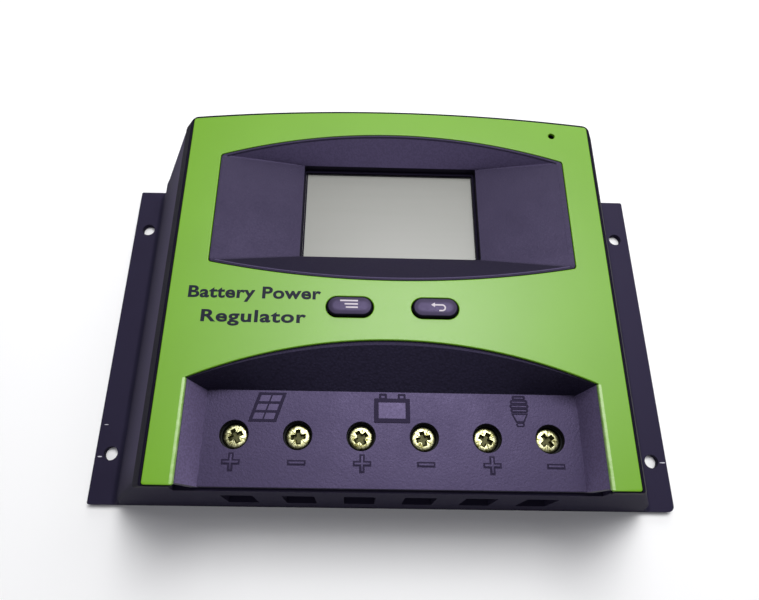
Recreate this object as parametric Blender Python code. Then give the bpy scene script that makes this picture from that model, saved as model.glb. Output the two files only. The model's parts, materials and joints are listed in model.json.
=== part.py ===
"""Solar charge controller with a display, two keys and six screw terminals.

Built as it would come apart on a bench: flanged case, finned base plate, moulded cover with a green
face panel, display stack, keys and switches, rising-clamp terminals and the power board inside.

The frame is +Z up out of the face, +X to the right along the terminal row and +Y away from the
terminals. The origin is the middle of the footprint, on the surface that the case is fixed to.
Dimensions are in millimetres and scaled to metres as meshes are made.
"""
import math

import bmesh
import bpy
from mathutils import Matrix, Vector

MM = 0.001

# ---- Driving dimensions, in millimetres ------------------------------------------------------------

FLANGE_WIDTH = 189.0            # overall width over the two fixing flanges
FLANGE_DEPTH = 116.4            # length of the flanges, front to back
FLANGE_THICKNESS = 2.2
FIXING_SPACING_X = 179.2
FIXING_SPACING_Y = 83.8
FIXING_FRONT = 16.0             # front pair of fixing holes, behind the front edge
FIXING_DIAMETER = 4.5

BACK_RISE = 3.8                 # how far the back wall bows out between its corners
CASE_RIM_Z = 44.2               # top edge of the flanged case
CASE_FOOT_HALF = 85.3           # half widths of the case at the foot, the knee and the rim
CASE_KNEE_HALF = 81.3
CASE_KNEE_Z = 12.5
CASE_RIM_HALF = 66.3
CASE_FRONT_LEAN = 2.0           # how far the front wall leans back by the rim
CASE_BACK_RIM = 116.0
WALL = 2.2
SIDE_WALL = 2.4                 # the side walls measured level, as they slope
FLANGE_CORNER = 2.0
ROOT_FILLET = ((0.4, 2.6), (2.2, 2.6), (2.8, 1.2), (4.4, 0.2))   # height and how far the wall flares out

FACE_Z = 48.6                   # top of the green face panel
RIM_Z = 48.3                    # top of the cover's rim around the panel
PANEL_FLOOR_Z = 47.3            # floor of the pocket that the panel lies in
PANEL_THICKNESS = 1.0
COVER_BOTTOM_Z = 44.5
COVER_LOW_HALF = 66.1
COVER_TOP_HALF = 63.3
COVER_FRONT = 1.3
COVER_BACK_LOW = 116.0
COVER_BACK_TOP = 115.5
PANEL_HALF = 62.6
PANEL_FRONT = 1.7
PANEL_BACK = 114.9
GAP = 0.3                       # clearance kept between neighbouring pieces

DISPLAY_HALF = 53.5             # display recess, at the face
DISPLAY_BOTTOM = 64.1
DISPLAY_TOP = 101.3
DISPLAY_BOTTOM_RISE = 5.1
DISPLAY_TOP_RISE = 8.8
WINDOW_HALF = 27.4              # window at the foot of the recess
WINDOW_BOTTOM = 69.3
WINDOW_TOP = 101.8
WINDOW_Z = 42.6
WINDOW_SILL_Z = 40.6

BAY_HALF = 54.9                 # terminal bay, at the face
BAY_BACK = 29.55
BAY_RISE = 11.45
BAY_FLOOR_Z = 38.0
BAY_FLOOR_HALF = 52.3
BAY_FLOOR_BACK = 28.9
BAY_FLOOR_THICKNESS = 2.0
BAY_LIP_Y = 2.4                 # front edge of the bay's floor
BAY_SHELL = 2.2
BAY_SHIFT = 0.9                 # the terminal row sits this far right of the middle
NOTCH_GAP = 0.5                 # kept between the bay's shell and the notch in the case's front wall

TERMINAL_COUNT = 6
TERMINAL_PITCH = 17.5
SCREW_Y = 16.4
ACCESS_DIAMETER = 8.0
CABLE_SLOT_WIDTH = 9.2
CABLE_SLOT_Z = (11.5, 27.0)

KEY_X = 12.05
KEY_Y = 50.6
KEY_LENGTH = 12.8
KEY_WIDTH = 6.0
KEY_CLEARANCE = 0.4
KEY_TOP_Z = 49.8
KEY_TRAVEL = 0.8

LAMP_X, LAMP_Y = 51.4, 111.2
LAMP_HOLE_DIAMETER = 2.0

BOSS_X = 58.5                   # cover bosses and the long screws in them
BOSS_Y = (9.0, 107.0)
BOSS_RADIUS = 3.5
BOSS_BOTTOM_Z = 10.5
BOSS_BORE_TOP_Z = 26.0
RAIL_X, RAIL_HALF = 62.0, 0.9   # rails under the cover that locate it between the side walls
RAIL_Y = (34.0, 98.0)
RAIL_BOTTOM_Z = 40.5
POST_RADIUS, STAKE_RADIUS = 2.5, 1.2
STAKE_TOP_Z = 36.0

BASE_THICKNESS = 4.0
BASE_HALF = 81.2
GROOVE_PITCH = 10.0
GROOVE_WIDTH = 4.0
GROOVE_DEPTH = 1.5
PLATE_GAP = 0.7                 # around the base plate, inside the walls
COUNTERBORE_Z = 2.6
STANDOFF_X = 70.0
STANDOFF_RADIUS = 3.5
STANDOFF_BORE_Z = 2.2
SCREW_BORE_RADIUS = 1.6         # for the self-tapping screws
SCREW_WAY_RADIUS = 1.7
STANDOFF_Y = (14.0, 86.0)
BOARD_Z = (7.4, 9.0)            # underside and top of the power board
BOARD_HALF = 76.0
BOARD_Y = (5.0, 92.0)
DISPLAY_BOARD_HALF = 54.5
DISPLAY_BOARD_Y = (46.0, 113.5)
DISPLAY_BOARD_Z = (31.5, 33.1)
DISPLAY_POSTS = ((49.5, 49.8), (44.0, 110.8))   # right-hand posts under the cover; the left ones mirror them
COVER_SCREW_HEAD_RADIUS = 3.0

DEPTH = FLANGE_DEPTH + BACK_RISE
ORIGIN = Vector((0.0, DEPTH / 2.0, 0.0))    # middle of the footprint, in construction coordinates
ARC_STEPS = 16
ROUND_STEPS = 24

# ---- Colours: linear base colour, roughness, metallic ----------------------------------------------

FINISHES = {
    "case_black": ((0.016, 0.014, 0.026), 0.42, 0.0),
    "cover_black": ((0.050, 0.042, 0.074), 0.62, 0.0),
    "face_green": ((0.235, 0.480, 0.068), 0.38, 0.0),
    "key_black": ((0.055, 0.045, 0.080), 0.45, 0.0),
    "display_grey": ((0.380, 0.400, 0.330), 0.25, 0.0),
    "diffuser_white": ((0.750, 0.760, 0.740), 0.50, 0.0),
    "terminal_black": ((0.020, 0.020, 0.024), 0.55, 0.0),
    "brass": ((0.720, 0.640, 0.330), 0.30, 1.0),
    "copper": ((0.720, 0.330, 0.180), 0.32, 1.0),
    "steel": ((0.520, 0.520, 0.530), 0.35, 1.0),
    "aluminium": ((0.600, 0.610, 0.620), 0.40, 1.0),
    "board_green": ((0.015, 0.110, 0.045), 0.45, 0.0),
    "chip_black": ((0.018, 0.018, 0.020), 0.50, 0.0),
    "capacitor_blue": ((0.030, 0.050, 0.140), 0.35, 0.0),
    "fuse_yellow": ((0.800, 0.520, 0.030), 0.30, 0.0),
    "lamp_clear": ((0.550, 0.600, 0.560), 0.15, 0.0),
    "ribbon_grey": ((0.420, 0.420, 0.440), 0.60, 0.0),
}


def material(name):
    """The Principled material of one finish."""
    found = bpy.data.materials.get(name)
    if found:
        return found
    colour, roughness, metallic = FINISHES[name]
    made = bpy.data.materials.new(name)
    made.use_nodes = True
    shader = made.node_tree.nodes["Principled BSDF"]
    shader.inputs["Base Color"].default_value = (*colour, 1.0)
    shader.inputs["Roughness"].default_value = roughness
    shader.inputs["Metallic"].default_value = metallic
    return made


# ---- Outlines --------------------------------------------------------------------------------------

def arc(half, level, rise, steps=ARC_STEPS, shift=0.0):
    """Points of a circular arc from +half to -half whose ends are at level and middle at level + rise."""
    if abs(rise) < 1e-6:
        return [(shift + half - 2.0 * half * i / steps, level) for i in range(steps + 1)]
    radius = (half * half + rise * rise) / (2.0 * abs(rise))
    side = math.copysign(1.0, rise)
    points = []
    for i in range(steps + 1):
        x = half - 2.0 * half * i / steps
        points.append((shift + x, level + side * (math.sqrt(radius * radius - x * x) - radius + abs(rise))))
    return points


def body_outline(half, front, back, rise=BACK_RISE):
    """Plan of the housing: straight front and sides and a bowed back."""
    return [(-half, front), (half, front)] + arc(half, back, rise)


def display_outline(grow=0.0):
    """Plan of the display recess at the face, between two arcs."""
    half = DISPLAY_HALF + grow
    lower = [(-x, y) for x, y in arc(half, DISPLAY_BOTTOM - grow, -DISPLAY_BOTTOM_RISE)]
    return lower + arc(half, DISPLAY_TOP + grow, DISPLAY_TOP_RISE)


def window_outline(grow=0.0):
    """Plan of the window, with as many points as the recess so that the two can be lofted."""
    half = WINDOW_HALF + grow
    lower = [(-x, y) for x, y in arc(half, WINDOW_BOTTOM - grow, 0.0)]
    return lower + arc(half, WINDOW_TOP + grow, 0.0)


def bay_outline(front, grow=0.0):
    """Plan of the terminal bay at the face, with its arched back edge."""
    half = BAY_HALF + grow
    return [(-half, front), (half, front)] + arc(half, BAY_BACK + grow, BAY_RISE)


def bay_floor_outline(front, grow=0.0):
    """Plan of the bay's floor, with a straight back edge."""
    half = BAY_FLOOR_HALF + grow
    back = arc(half, BAY_FLOOR_BACK + grow, 0.0, shift=BAY_SHIFT)
    return [(BAY_SHIFT - half, front), (BAY_SHIFT + half, front)] + back


def circle(x, y, radius, steps=ROUND_STEPS):
    """Points of a circle, counter-clockwise."""
    angles = [2.0 * math.pi * i / steps for i in range(steps)]
    return [(x + radius * math.cos(a), y + radius * math.sin(a)) for a in angles]


def stadium(x, y, length, width, steps=12):
    """A slot outline with round ends, long along X."""
    radius = width / 2.0
    reach = length / 2.0 - radius
    points = []
    for end, start in ((reach, -math.pi / 2.0), (-reach, math.pi / 2.0)):
        for i in range(steps + 1):
            angle = start + math.pi * i / steps
            points.append((x + end + radius * math.cos(angle), y + radius * math.sin(angle)))
    return points


def rectangle(x0, x1, y0, y1):
    """Corner points of a rectangle, counter-clockwise."""
    return [(x0, y0), (x1, y0), (x1, y1), (x0, y1)]


# ---- Solids ----------------------------------------------------------------------------------------

def loft(name, rings):
    """One closed solid through level rings of (outline, z), lowest first, with as many points in each."""
    mesh = bmesh.new()
    loops = []
    for outline, z in rings:
        corners = [(Vector((x, y, z)) - ORIGIN) * MM for x, y in outline]
        loops.append([mesh.verts.new(corner) for corner in corners])
    count = len(loops[0])
    mesh.faces.new(list(reversed(loops[0])))
    mesh.faces.new(loops[-1])
    for low, high in zip(loops, loops[1:]):
        for i in range(count):
            j = (i + 1) % count
            mesh.faces.new((low[i], low[j], high[j], high[i]))
    bmesh.ops.recalc_face_normals(mesh, faces=mesh.faces)
    data = bpy.data.meshes.new(name)
    mesh.to_mesh(data)
    mesh.free()
    made = bpy.data.objects.new(name, data)
    bpy.context.scene.collection.objects.link(made)
    return made


def prism(name, outline, z0, z1):
    """A straight-sided solid on an outline."""
    return loft(name, [(outline, z0), (outline, z1)])


def box(name, x0, x1, y0, y1, z0, z1):
    """A rectangular solid."""
    return prism(name, rectangle(x0, x1, y0, y1), z0, z1)


def rod(name, x, y, radius, z0, z1, steps=ROUND_STEPS):
    """An upright round solid."""
    return prism(name, circle(x, y, radius, steps), z0, z1)


def side_strip(name, profile, x0, x1):
    """A solid whose (y, z) profile is extruded from x0 to x1."""
    mesh = bmesh.new()
    ends = []
    for x in (x0, x1):
        ends.append([mesh.verts.new((Vector((x, y, z)) - ORIGIN) * MM) for y, z in profile])
    mesh.faces.new(ends[0])
    mesh.faces.new(list(reversed(ends[1])))
    for i in range(len(profile)):
        j = (i + 1) % len(profile)
        mesh.faces.new((ends[0][i], ends[1][i], ends[1][j], ends[0][j]))
    bmesh.ops.recalc_face_normals(mesh, faces=mesh.faces)
    data = bpy.data.meshes.new(name)
    mesh.to_mesh(data)
    mesh.free()
    made = bpy.data.objects.new(name, data)
    bpy.context.scene.collection.objects.link(made)
    return made


def combine(target, others, operation):
    """Joins others to the target, or cuts them out of it, and removes them."""
    for other in others:
        modifier = target.modifiers.new("combine", "BOOLEAN")
        modifier.operation = operation
        modifier.solver = "EXACT"
        modifier.object = other
    bpy.context.view_layer.update()
    evaluated = target.evaluated_get(bpy.context.evaluated_depsgraph_get())
    result = bpy.data.meshes.new_from_object(evaluated)
    target.modifiers.clear()
    target.data = result
    for other in others:
        bpy.data.objects.remove(other, do_unlink=True)
    return target


def join(target, *others):
    """The target with the other solids added to it."""
    return combine(target, others, "UNION")


def cut(target, *cutters):
    """The target with the cutters taken out of it."""
    return combine(target, cutters, "DIFFERENCE")


def finish(solid, finish_name, smooth_angle=35.0):
    """Gives a solid its material, and shades its round sides smooth."""
    solid.data.materials.clear()
    solid.data.materials.append(material(finish_name))
    solid.data.shade_smooth()
    solid.data.set_sharp_from_angle(angle=math.radians(smooth_angle))
    return solid


def set_origin(solid, x, y, z):
    """Moves an object's origin to a point on its joint's axis, and leaves its shape where it is."""
    point = (Vector((x, y, z)) - ORIGIN) * MM
    solid.data.transform(Matrix.Translation(-point))
    solid.location = point
    return solid


def terminal_x(index):
    """Middle of terminal 1 to 6, from the left."""
    return BAY_SHIFT + (index - (TERMINAL_COUNT + 1) / 2.0) * TERMINAL_PITCH


# ---- Case ------------------------------------------------------------------------------------------

def case_half(z):
    """Half width of the case's sloping side walls at a height."""
    if z < CASE_KNEE_Z:
        return CASE_FOOT_HALF + (CASE_KNEE_HALF - CASE_FOOT_HALF) * z / CASE_KNEE_Z
    rise = (z - CASE_KNEE_Z) / (CASE_RIM_Z - CASE_KNEE_Z)
    return CASE_KNEE_HALF + (CASE_RIM_HALF - CASE_KNEE_HALF) * rise


def case_ring(z, inset=0.0, side_inset=0.0):
    """Outline of the case at a height, drawn in by the wall for the inside."""
    lean = z / CASE_RIM_Z
    front = CASE_FRONT_LEAN * lean + inset
    back = FLANGE_DEPTH + (CASE_BACK_RIM - FLANGE_DEPTH) * lean - inset
    return body_outline(case_half(z) - side_inset, front, back)


def flange(side):
    """One fixing flange with its two holes, on side -1 or +1."""
    inner = CASE_FOOT_HALF - 2.0
    outer = FLANGE_WIDTH / 2.0
    corner = FLANGE_CORNER
    outline = [
        (inner, 0.0), (outer - corner, 0.0), (outer, corner), (outer, FLANGE_DEPTH - corner / 2.0),
        (outer - corner / 2.0, FLANGE_DEPTH), (inner, FLANGE_DEPTH),
    ]
    if side < 0:
        outline = [(-x, y) for x, y in reversed(outline)]
    made = prism("flange", outline, 0.0, FLANGE_THICKNESS)
    holes = [
        rod("hole", side * FIXING_SPACING_X / 2.0, y, FIXING_DIAMETER / 2.0, -1.0, FLANGE_THICKNESS + 1.0)
        for y in (FIXING_FRONT, FIXING_FRONT + FIXING_SPACING_Y)
    ]
    return cut(made, *holes)


def lower_case():
    """The flanged case: four sloping walls, open above and below, with six cable slots in front."""
    rings = [(case_ring(0.0), 0.0)]
    rings += [(widened(case_ring(z), flare), z) for z, flare in ROOT_FILLET]
    rings += [(case_ring(z), z) for z in (CASE_KNEE_Z, CASE_RIM_Z)]
    shell = loft("lower_case", rings)
    join(shell, flange(-1), flange(1))
    inner = [(case_ring(z, WALL, SIDE_WALL), z) for z in (-1.0, CASE_KNEE_Z, CASE_RIM_Z + 5.0)]
    notch_half = BAY_HALF + BAY_SHELL + NOTCH_GAP
    notch = box("notch", -notch_half, notch_half, -2.0, 8.0,
                BAY_FLOOR_Z - BAY_FLOOR_THICKNESS - NOTCH_GAP, CASE_RIM_Z + 2.0)
    slots = []
    for index in range(1, TERMINAL_COUNT + 1):
        middle = terminal_x(index)
        slots.append(box("slot", middle - CABLE_SLOT_WIDTH / 2.0, middle + CABLE_SLOT_WIDTH / 2.0,
                         -2.0, 8.0, *CABLE_SLOT_Z))
    cut(shell, loft("inside", inner), notch, *slots)
    return finish(shell, "case_black")


def widened(outline, extra):
    """An outline whose sides stand out by extra, for the fillet where the walls meet the flanges."""
    return [(x + math.copysign(extra, x) if abs(x) > CASE_KNEE_HALF else x, y) for x, y in outline]


def heat_sink_plate():
    """Aluminium base inside the case, grooved below, with a standoff at each corner of the board."""
    outline = body_outline(BASE_HALF, WALL + PLATE_GAP, FLANGE_DEPTH - WALL - PLATE_GAP)
    plate = prism("heat_sink_plate", outline, 0.0, BASE_THICKNESS)
    posts, bores = [], []
    for side in (-1, 1):
        for y in STANDOFF_Y:
            posts.append(rod("post", side * STANDOFF_X, y, STANDOFF_RADIUS,
                             BASE_THICKNESS - 1.0, BOARD_Z[0] - GAP))
            bores.append(rod("bore", side * STANDOFF_X, y, SCREW_BORE_RADIUS,
                             STANDOFF_BORE_Z, BOARD_Z[0] + 1.0))
        for y in BOSS_Y:
            bores.append(rod("screw_way", side * BOSS_X, y, SCREW_WAY_RADIUS, -1.0, BASE_THICKNESS + 1.0))
            bores.append(rod("counterbore", side * BOSS_X, y, COVER_SCREW_HEAD_RADIUS + 0.6,
                             -1.0, COUNTERBORE_Z))
    grooves = []
    reach = int((BASE_HALF - GROOVE_PITCH) // GROOVE_PITCH)
    for step in range(-reach, reach + 1):
        middle = step * GROOVE_PITCH
        grooves.append(box("groove", middle - GROOVE_WIDTH / 2.0, middle + GROOVE_WIDTH / 2.0,
                           -5.0, DEPTH + 5.0, -1.0, GROOVE_DEPTH))
    join(plate, *posts)
    cut(plate, *grooves)
    cut(plate, *bores)
    return finish(plate, "aluminium")


# ---- Cover and face --------------------------------------------------------------------------------

def recess_cutter():
    """Space of the display recess: four facets from the arched outline down to the window."""
    return loft("recess", [
        (window_outline(), WINDOW_SILL_Z - 2.0), (window_outline(), WINDOW_Z),
        (display_outline(), FACE_Z), (display_outline(), FACE_Z + 3.0),
    ])


def bay_cutter():
    """Space of the terminal bay: an arched facet behind and two side facets down to the floor."""
    front = -4.0
    return loft("bay", [
        (bay_floor_outline(front), BAY_FLOOR_Z), (bay_outline(front), FACE_Z),
        (bay_outline(front), FACE_Z + 3.0),
    ])


def face_blank(name, grow, z0, z1):
    """The face panel's plan, grown by a clearance, with its two large openings."""
    outline = body_outline(PANEL_HALF + grow, PANEL_FRONT - grow, PANEL_BACK + grow)
    blank = prism(name, outline, z0, z1)
    return cut(blank, prism("display", display_outline(-grow), z0 - 1.0, z1 + 1.0),
               prism("bay", bay_outline(-4.0, -grow), z0 - 1.0, z1 + 1.0))


def key_and_lamp_cutters(z0, z1):
    """Through holes for the two keys and the indicator lamp."""
    length, width = KEY_LENGTH + 2.0 * KEY_CLEARANCE, KEY_WIDTH + 2.0 * KEY_CLEARANCE
    cutters = [prism("key_hole", stadium(side * KEY_X, KEY_Y, length, width), z0, z1) for side in (-1, 1)]
    cutters.append(rod("lamp_hole", LAMP_X, LAMP_Y, LAMP_HOLE_DIAMETER / 2.0, z0, z1, 16))
    return cutters


def top_cover():
    """The moulded cover: chamfered rim, display recess, terminal bay, bosses and locating rails."""
    cover = loft("top_cover", [
        (body_outline(COVER_LOW_HALF, COVER_FRONT, COVER_BACK_LOW), COVER_BOTTOM_Z),
        (body_outline(COVER_LOW_HALF - 0.2, COVER_FRONT, COVER_BACK_LOW), COVER_BOTTOM_Z + 0.6),
        (body_outline(COVER_TOP_HALF, COVER_FRONT, COVER_BACK_TOP), RIM_Z),
    ])
    into_cover = COVER_BOTTOM_Z + 1.0
    recess_shell = loft("recess_shell", [
        (window_outline(2.4), WINDOW_SILL_Z), (display_outline(2.0), into_cover)])
    bay_shell = loft("bay_shell", [
        (bay_floor_outline(BAY_LIP_Y, BAY_SHELL), BAY_FLOOR_Z - BAY_FLOOR_THICKNESS),
        (bay_outline(BAY_LIP_Y, BAY_SHELL), into_cover)])
    bosses, bores = [], []
    for side in (-1, 1):
        for y in BOSS_Y:
            bosses.append(rod("boss", side * BOSS_X, y, BOSS_RADIUS, BOSS_BOTTOM_Z, into_cover, 20))
            bores.append(rod("boss_bore", side * BOSS_X, y, SCREW_BORE_RADIUS,
                             BOSS_BOTTOM_Z - 1.0, BOSS_BORE_TOP_Z, 16))
        bosses.append(box("rail", side * RAIL_X - RAIL_HALF, side * RAIL_X + RAIL_HALF, *RAIL_Y,
                          RAIL_BOTTOM_Z, into_cover))
        for x, y in DISPLAY_POSTS:
            bosses.append(rod("post", side * x, y, POST_RADIUS, DISPLAY_BOARD_Z[1] + GAP, into_cover, 16))
            bosses.append(rod("stake", side * x, y, STAKE_RADIUS,
                              DISPLAY_BOARD_Z[0] - 1.0, STAKE_TOP_Z, 12))
    join(cover, recess_shell, bay_shell)
    join(cover, *bosses)
    access = [rod("access", terminal_x(i), SCREW_Y, ACCESS_DIAMETER / 2.0, 30.0, 42.0)
              for i in range(1, TERMINAL_COUNT + 1)]
    cut(cover, face_blank("pocket", GAP, PANEL_FLOOR_Z, FACE_Z + 2.0))
    cut(cover, recess_cutter(), bay_cutter())
    cut(cover, *bores, *access, *key_and_lamp_cutters(40.0, FACE_Z + 1.0))
    return finish(cover, "cover_black")


def face_panel():
    """The green panel that lies in the cover's pocket."""
    bottom = FACE_Z - PANEL_THICKNESS
    panel = face_blank("face_panel", 0.0, bottom, FACE_Z)
    cut(panel, *key_and_lamp_cutters(bottom - 1.0, FACE_Z + 1.0))
    return finish(panel, "face_green")


# ---- Display and keys ------------------------------------------------------------------------------

LCD_HALF = 31.0
LCD_Y = (66.0, 105.5)
SIGHT_HALF = 26.9               # opening of the bezel
SIGHT_Y = (70.1, 100.9)
FRAME_Z = (39.6, 40.3)
GLASS_Z = (37.5, 39.3)
BACKLIGHT_Z = (33.4, 37.2)


def display_stack():
    """Bezel, glass and backlight of the display, and the board that carries them."""
    frame = box("lcd_frame", -LCD_HALF, LCD_HALF, *LCD_Y, *FRAME_Z)
    cut(frame, box("sight", -SIGHT_HALF, SIGHT_HALF, *SIGHT_Y, FRAME_Z[0] - 1.0, FRAME_Z[1] + 1.0))
    finish(frame, "chip_black")
    glass = box("lcd_glass", -LCD_HALF, LCD_HALF, *LCD_Y, *GLASS_Z)
    finish(glass, "display_grey")
    light = box("lcd_backlight", -LCD_HALF, LCD_HALF, *LCD_Y, *BACKLIGHT_Z)
    finish(light, "diffuser_white")
    board = box("display_board", -DISPLAY_BOARD_HALF, DISPLAY_BOARD_HALF, *DISPLAY_BOARD_Y, *DISPLAY_BOARD_Z)
    holes = []
    for side in (-1, 1):
        for x, y in DISPLAY_POSTS:
            holes.append(rod("stake_hole", side * x, y, STAKE_RADIUS + 0.4,
                             DISPLAY_BOARD_Z[0] - 1.0, DISPLAY_BOARD_Z[1] + 1.0, 12))
    cut(board, *holes)
    finish(board, "board_green")


KEY_CHAMFER = 0.4
SKIRT_Z = (43.0, 44.1)          # the skirt stops the key under the cover
SKIRT_REACH = 1.2
STEM_RADIUS = 1.8
STEM_BOTTOM_Z = 38.8
SWITCH_HALF = 3.0
SWITCH_Z = (33.4, 36.6)
SWITCH_BORE_FLOOR_Z = 34.0
PLUNGER_RADIUS = 1.7
PLUNGER_Z = (35.2, 38.5)


def key(name, side):
    """One key with its retaining skirt and stem, on a vertical slide."""
    middle = side * KEY_X
    top = loft(name, [
        (stadium(middle, KEY_Y, KEY_LENGTH, KEY_WIDTH), SKIRT_Z[0] + 0.4),
        (stadium(middle, KEY_Y, KEY_LENGTH, KEY_WIDTH), KEY_TOP_Z - KEY_CHAMFER),
        (stadium(middle, KEY_Y, KEY_LENGTH - 2.0 * KEY_CHAMFER, KEY_WIDTH - 2.0 * KEY_CHAMFER), KEY_TOP_Z),
    ])
    reach = 2.0 * SKIRT_REACH
    skirt = prism("skirt", stadium(middle, KEY_Y, KEY_LENGTH + reach, KEY_WIDTH + reach), *SKIRT_Z)
    stem = rod("stem", middle, KEY_Y, STEM_RADIUS, STEM_BOTTOM_Z, SKIRT_Z[0] + 0.6, 16)
    join(top, skirt, stem)
    finish(top, "key_black")
    set_origin(top, middle, KEY_Y, KEY_TOP_Z)


def key_switch(prefix, side):
    """Push switch under a key: a body on the display board and the plunger that the key pushes."""
    middle = side * KEY_X
    body = box(prefix + "_switch", middle - SWITCH_HALF, middle + SWITCH_HALF,
               KEY_Y - SWITCH_HALF, KEY_Y + SWITCH_HALF, *SWITCH_Z)
    cut(body, rod("bore", middle, KEY_Y, PLUNGER_RADIUS + GAP, SWITCH_BORE_FLOOR_Z, SWITCH_Z[1] + 1.0, 16))
    finish(body, "chip_black")
    plunger = rod(prefix + "_plunger", middle, KEY_Y, PLUNGER_RADIUS, *PLUNGER_Z, 16)
    finish(plunger, "steel")
    set_origin(plunger, middle, KEY_Y, PLUNGER_Z[1])


LAMP_RADIUS = 1.5
LAMP_RIM = 0.4
LAMP_Z = (33.4, 44.8)
LAMP_SHOULDER_Z = 38.0
LAMP_DOME_STEPS = 4


def indicator_lamp():
    """The lamp under the small hole at the top right of the face."""
    straight = LAMP_Z[1] - LAMP_RADIUS
    profile = [(LAMP_RADIUS + LAMP_RIM, LAMP_Z[0]), (LAMP_RADIUS + LAMP_RIM, LAMP_SHOULDER_Z),
               (LAMP_RADIUS, LAMP_SHOULDER_Z + 0.2)]
    for i in range(LAMP_DOME_STEPS + 1):
        angle = math.pi / 2.0 * i / (LAMP_DOME_STEPS + 1)
        profile.append((LAMP_RADIUS * math.cos(angle), straight + LAMP_RADIUS * math.sin(angle)))
    lamp = loft("indicator_lamp", [(circle(LAMP_X, LAMP_Y, r, 16), z) for r, z in profile])
    finish(lamp, "lamp_clear")


# ---- Terminals -------------------------------------------------------------------------------------

CLAMP_HALF = 5.7                # the rising clamp is a tube, open along Y
CLAMP_Y = (11.4, 21.4)
CLAMP_Z = (13.3, 27.3)
CLAMP_SPACE_HALF = 4.5
CLAMP_SPACE_Z = (14.5, 25.5)
CHAMBER_HALF = 6.0
CHAMBER_Z = (13.0, 31.8)
CONTACT_HALF = 3.5
CONTACT_Z = (22.0, 23.5)
SCREW_HEAD_RADIUS = 3.3
SCREW_HEAD_Z = (33.6, 35.5)
SCREW_SHANK_RADIUS = 2.0
SCREW_TIP_Z = 24.5
RECESS_FLOOR_Z = 34.3           # floor of the screw's cross recess
RECESS_ARM = 1.9
RECESS_HALF = 0.55
BLOCK_Z = (9.3, 35.7)
BLOCK_Y = (4.2, 27.0)
ENTRY_BOTTOM_Z = 14.0
WAY_BOTTOM_Z = 30.0
CONTACT_BACK_Y = 29.5
CONTACT_THICKNESS = 1.5


def terminal_block():
    """Insulating block with six clamp chambers, open to the cable slots and to the access holes."""
    half = TERMINAL_PITCH * TERMINAL_COUNT / 2.0 - 0.3
    block = box("terminal_block", BAY_SHIFT - half, BAY_SHIFT + half, *BLOCK_Y, *BLOCK_Z)
    chambers, entries, wells, ways, slots = [], [], [], [], []
    for index in range(1, TERMINAL_COUNT + 1):
        x = terminal_x(index)
        chambers.append(box("chamber", x - CHAMBER_HALF, x + CHAMBER_HALF,
                            CLAMP_Y[0] - 0.4, CLAMP_Y[1] + 0.4, *CHAMBER_Z))
        entries.append(box("entry", x - CABLE_SLOT_WIDTH / 2.0, x + CABLE_SLOT_WIDTH / 2.0,
                           BLOCK_Y[0] - 1.0, CLAMP_Y[0], ENTRY_BOTTOM_Z, CABLE_SLOT_Z[1]))
        wells.append(rod("well", x, SCREW_Y, SCREW_HEAD_RADIUS + 0.4,
                         SCREW_HEAD_Z[0] - GAP, BLOCK_Z[1] + 1.0, 24))
        ways.append(rod("way", x, SCREW_Y, SCREW_SHANK_RADIUS + GAP, WAY_BOTTOM_Z, SCREW_HEAD_Z[0], 16))
        slots.append(box("bar_slot", x - CONTACT_HALF - 0.4, x + CONTACT_HALF + 0.4,
                         CLAMP_Y[1], BLOCK_Y[1] + 1.0, CONTACT_Z[0] - 0.4, CONTACT_Z[1] + 0.4))
    cut(block, *chambers)
    cut(block, *entries, *slots, *wells)
    cut(block, *ways)
    finish(block, "terminal_black")


def terminal(index):
    """Screw, rising clamp and fixed contact of one terminal."""
    x = terminal_x(index)
    screw = rod("terminal_screw_%d" % index, x, SCREW_Y, SCREW_SHANK_RADIUS,
                SCREW_TIP_Z, SCREW_HEAD_Z[0] + 0.4, 16)
    head = loft("head", [
        (circle(x, SCREW_Y, SCREW_HEAD_RADIUS, 24), SCREW_HEAD_Z[0]),
        (circle(x, SCREW_Y, SCREW_HEAD_RADIUS, 24), SCREW_HEAD_Z[1] - 0.4),
        (circle(x, SCREW_Y, SCREW_HEAD_RADIUS - 0.5, 24), SCREW_HEAD_Z[1]),
    ])
    join(screw, head)
    cross_cut(screw, x, SCREW_Y, RECESS_FLOOR_Z, SCREW_HEAD_Z[1] + 1.0, RECESS_ARM, RECESS_HALF)
    finish(screw, "brass")
    set_origin(screw, x, SCREW_Y, SCREW_HEAD_Z[1])

    clamp = box("terminal_clamp_%d" % index, x - CLAMP_HALF, x + CLAMP_HALF, *CLAMP_Y, *CLAMP_Z)
    cut(clamp, box("space", x - CLAMP_SPACE_HALF, x + CLAMP_SPACE_HALF, CLAMP_Y[0] - 1.0, CLAMP_Y[1] + 1.0,
                   *CLAMP_SPACE_Z))
    cut(clamp, rod("thread", x, SCREW_Y, SCREW_SHANK_RADIUS + GAP,
                   CLAMP_SPACE_Z[1] - 1.0, CLAMP_Z[1] + 1.0, 16))
    finish(clamp, "steel")
    set_origin(clamp, x, SCREW_Y, CLAMP_Z[0])

    front, back = CLAMP_Y[0] + 0.2, CONTACT_BACK_Y
    profile = [
        (front, CONTACT_Z[0]), (back - CONTACT_THICKNESS, CONTACT_Z[0]),
        (back - CONTACT_THICKNESS, BLOCK_Z[0]), (back, BLOCK_Z[0]), (back, CONTACT_Z[1]),
        (front, CONTACT_Z[1]),
    ]
    contact = side_strip("terminal_contact_%d" % index, profile, x - CONTACT_HALF, x + CONTACT_HALF)
    finish(contact, "copper")


# ---- Power board -----------------------------------------------------------------------------------

ON_BOARD = BOARD_Z[1] + GAP     # where parts on the power board begin
THROUGH_BOARD = (BOARD_Z[0] - 1.0, BOARD_Z[1] + 1.0)


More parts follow.
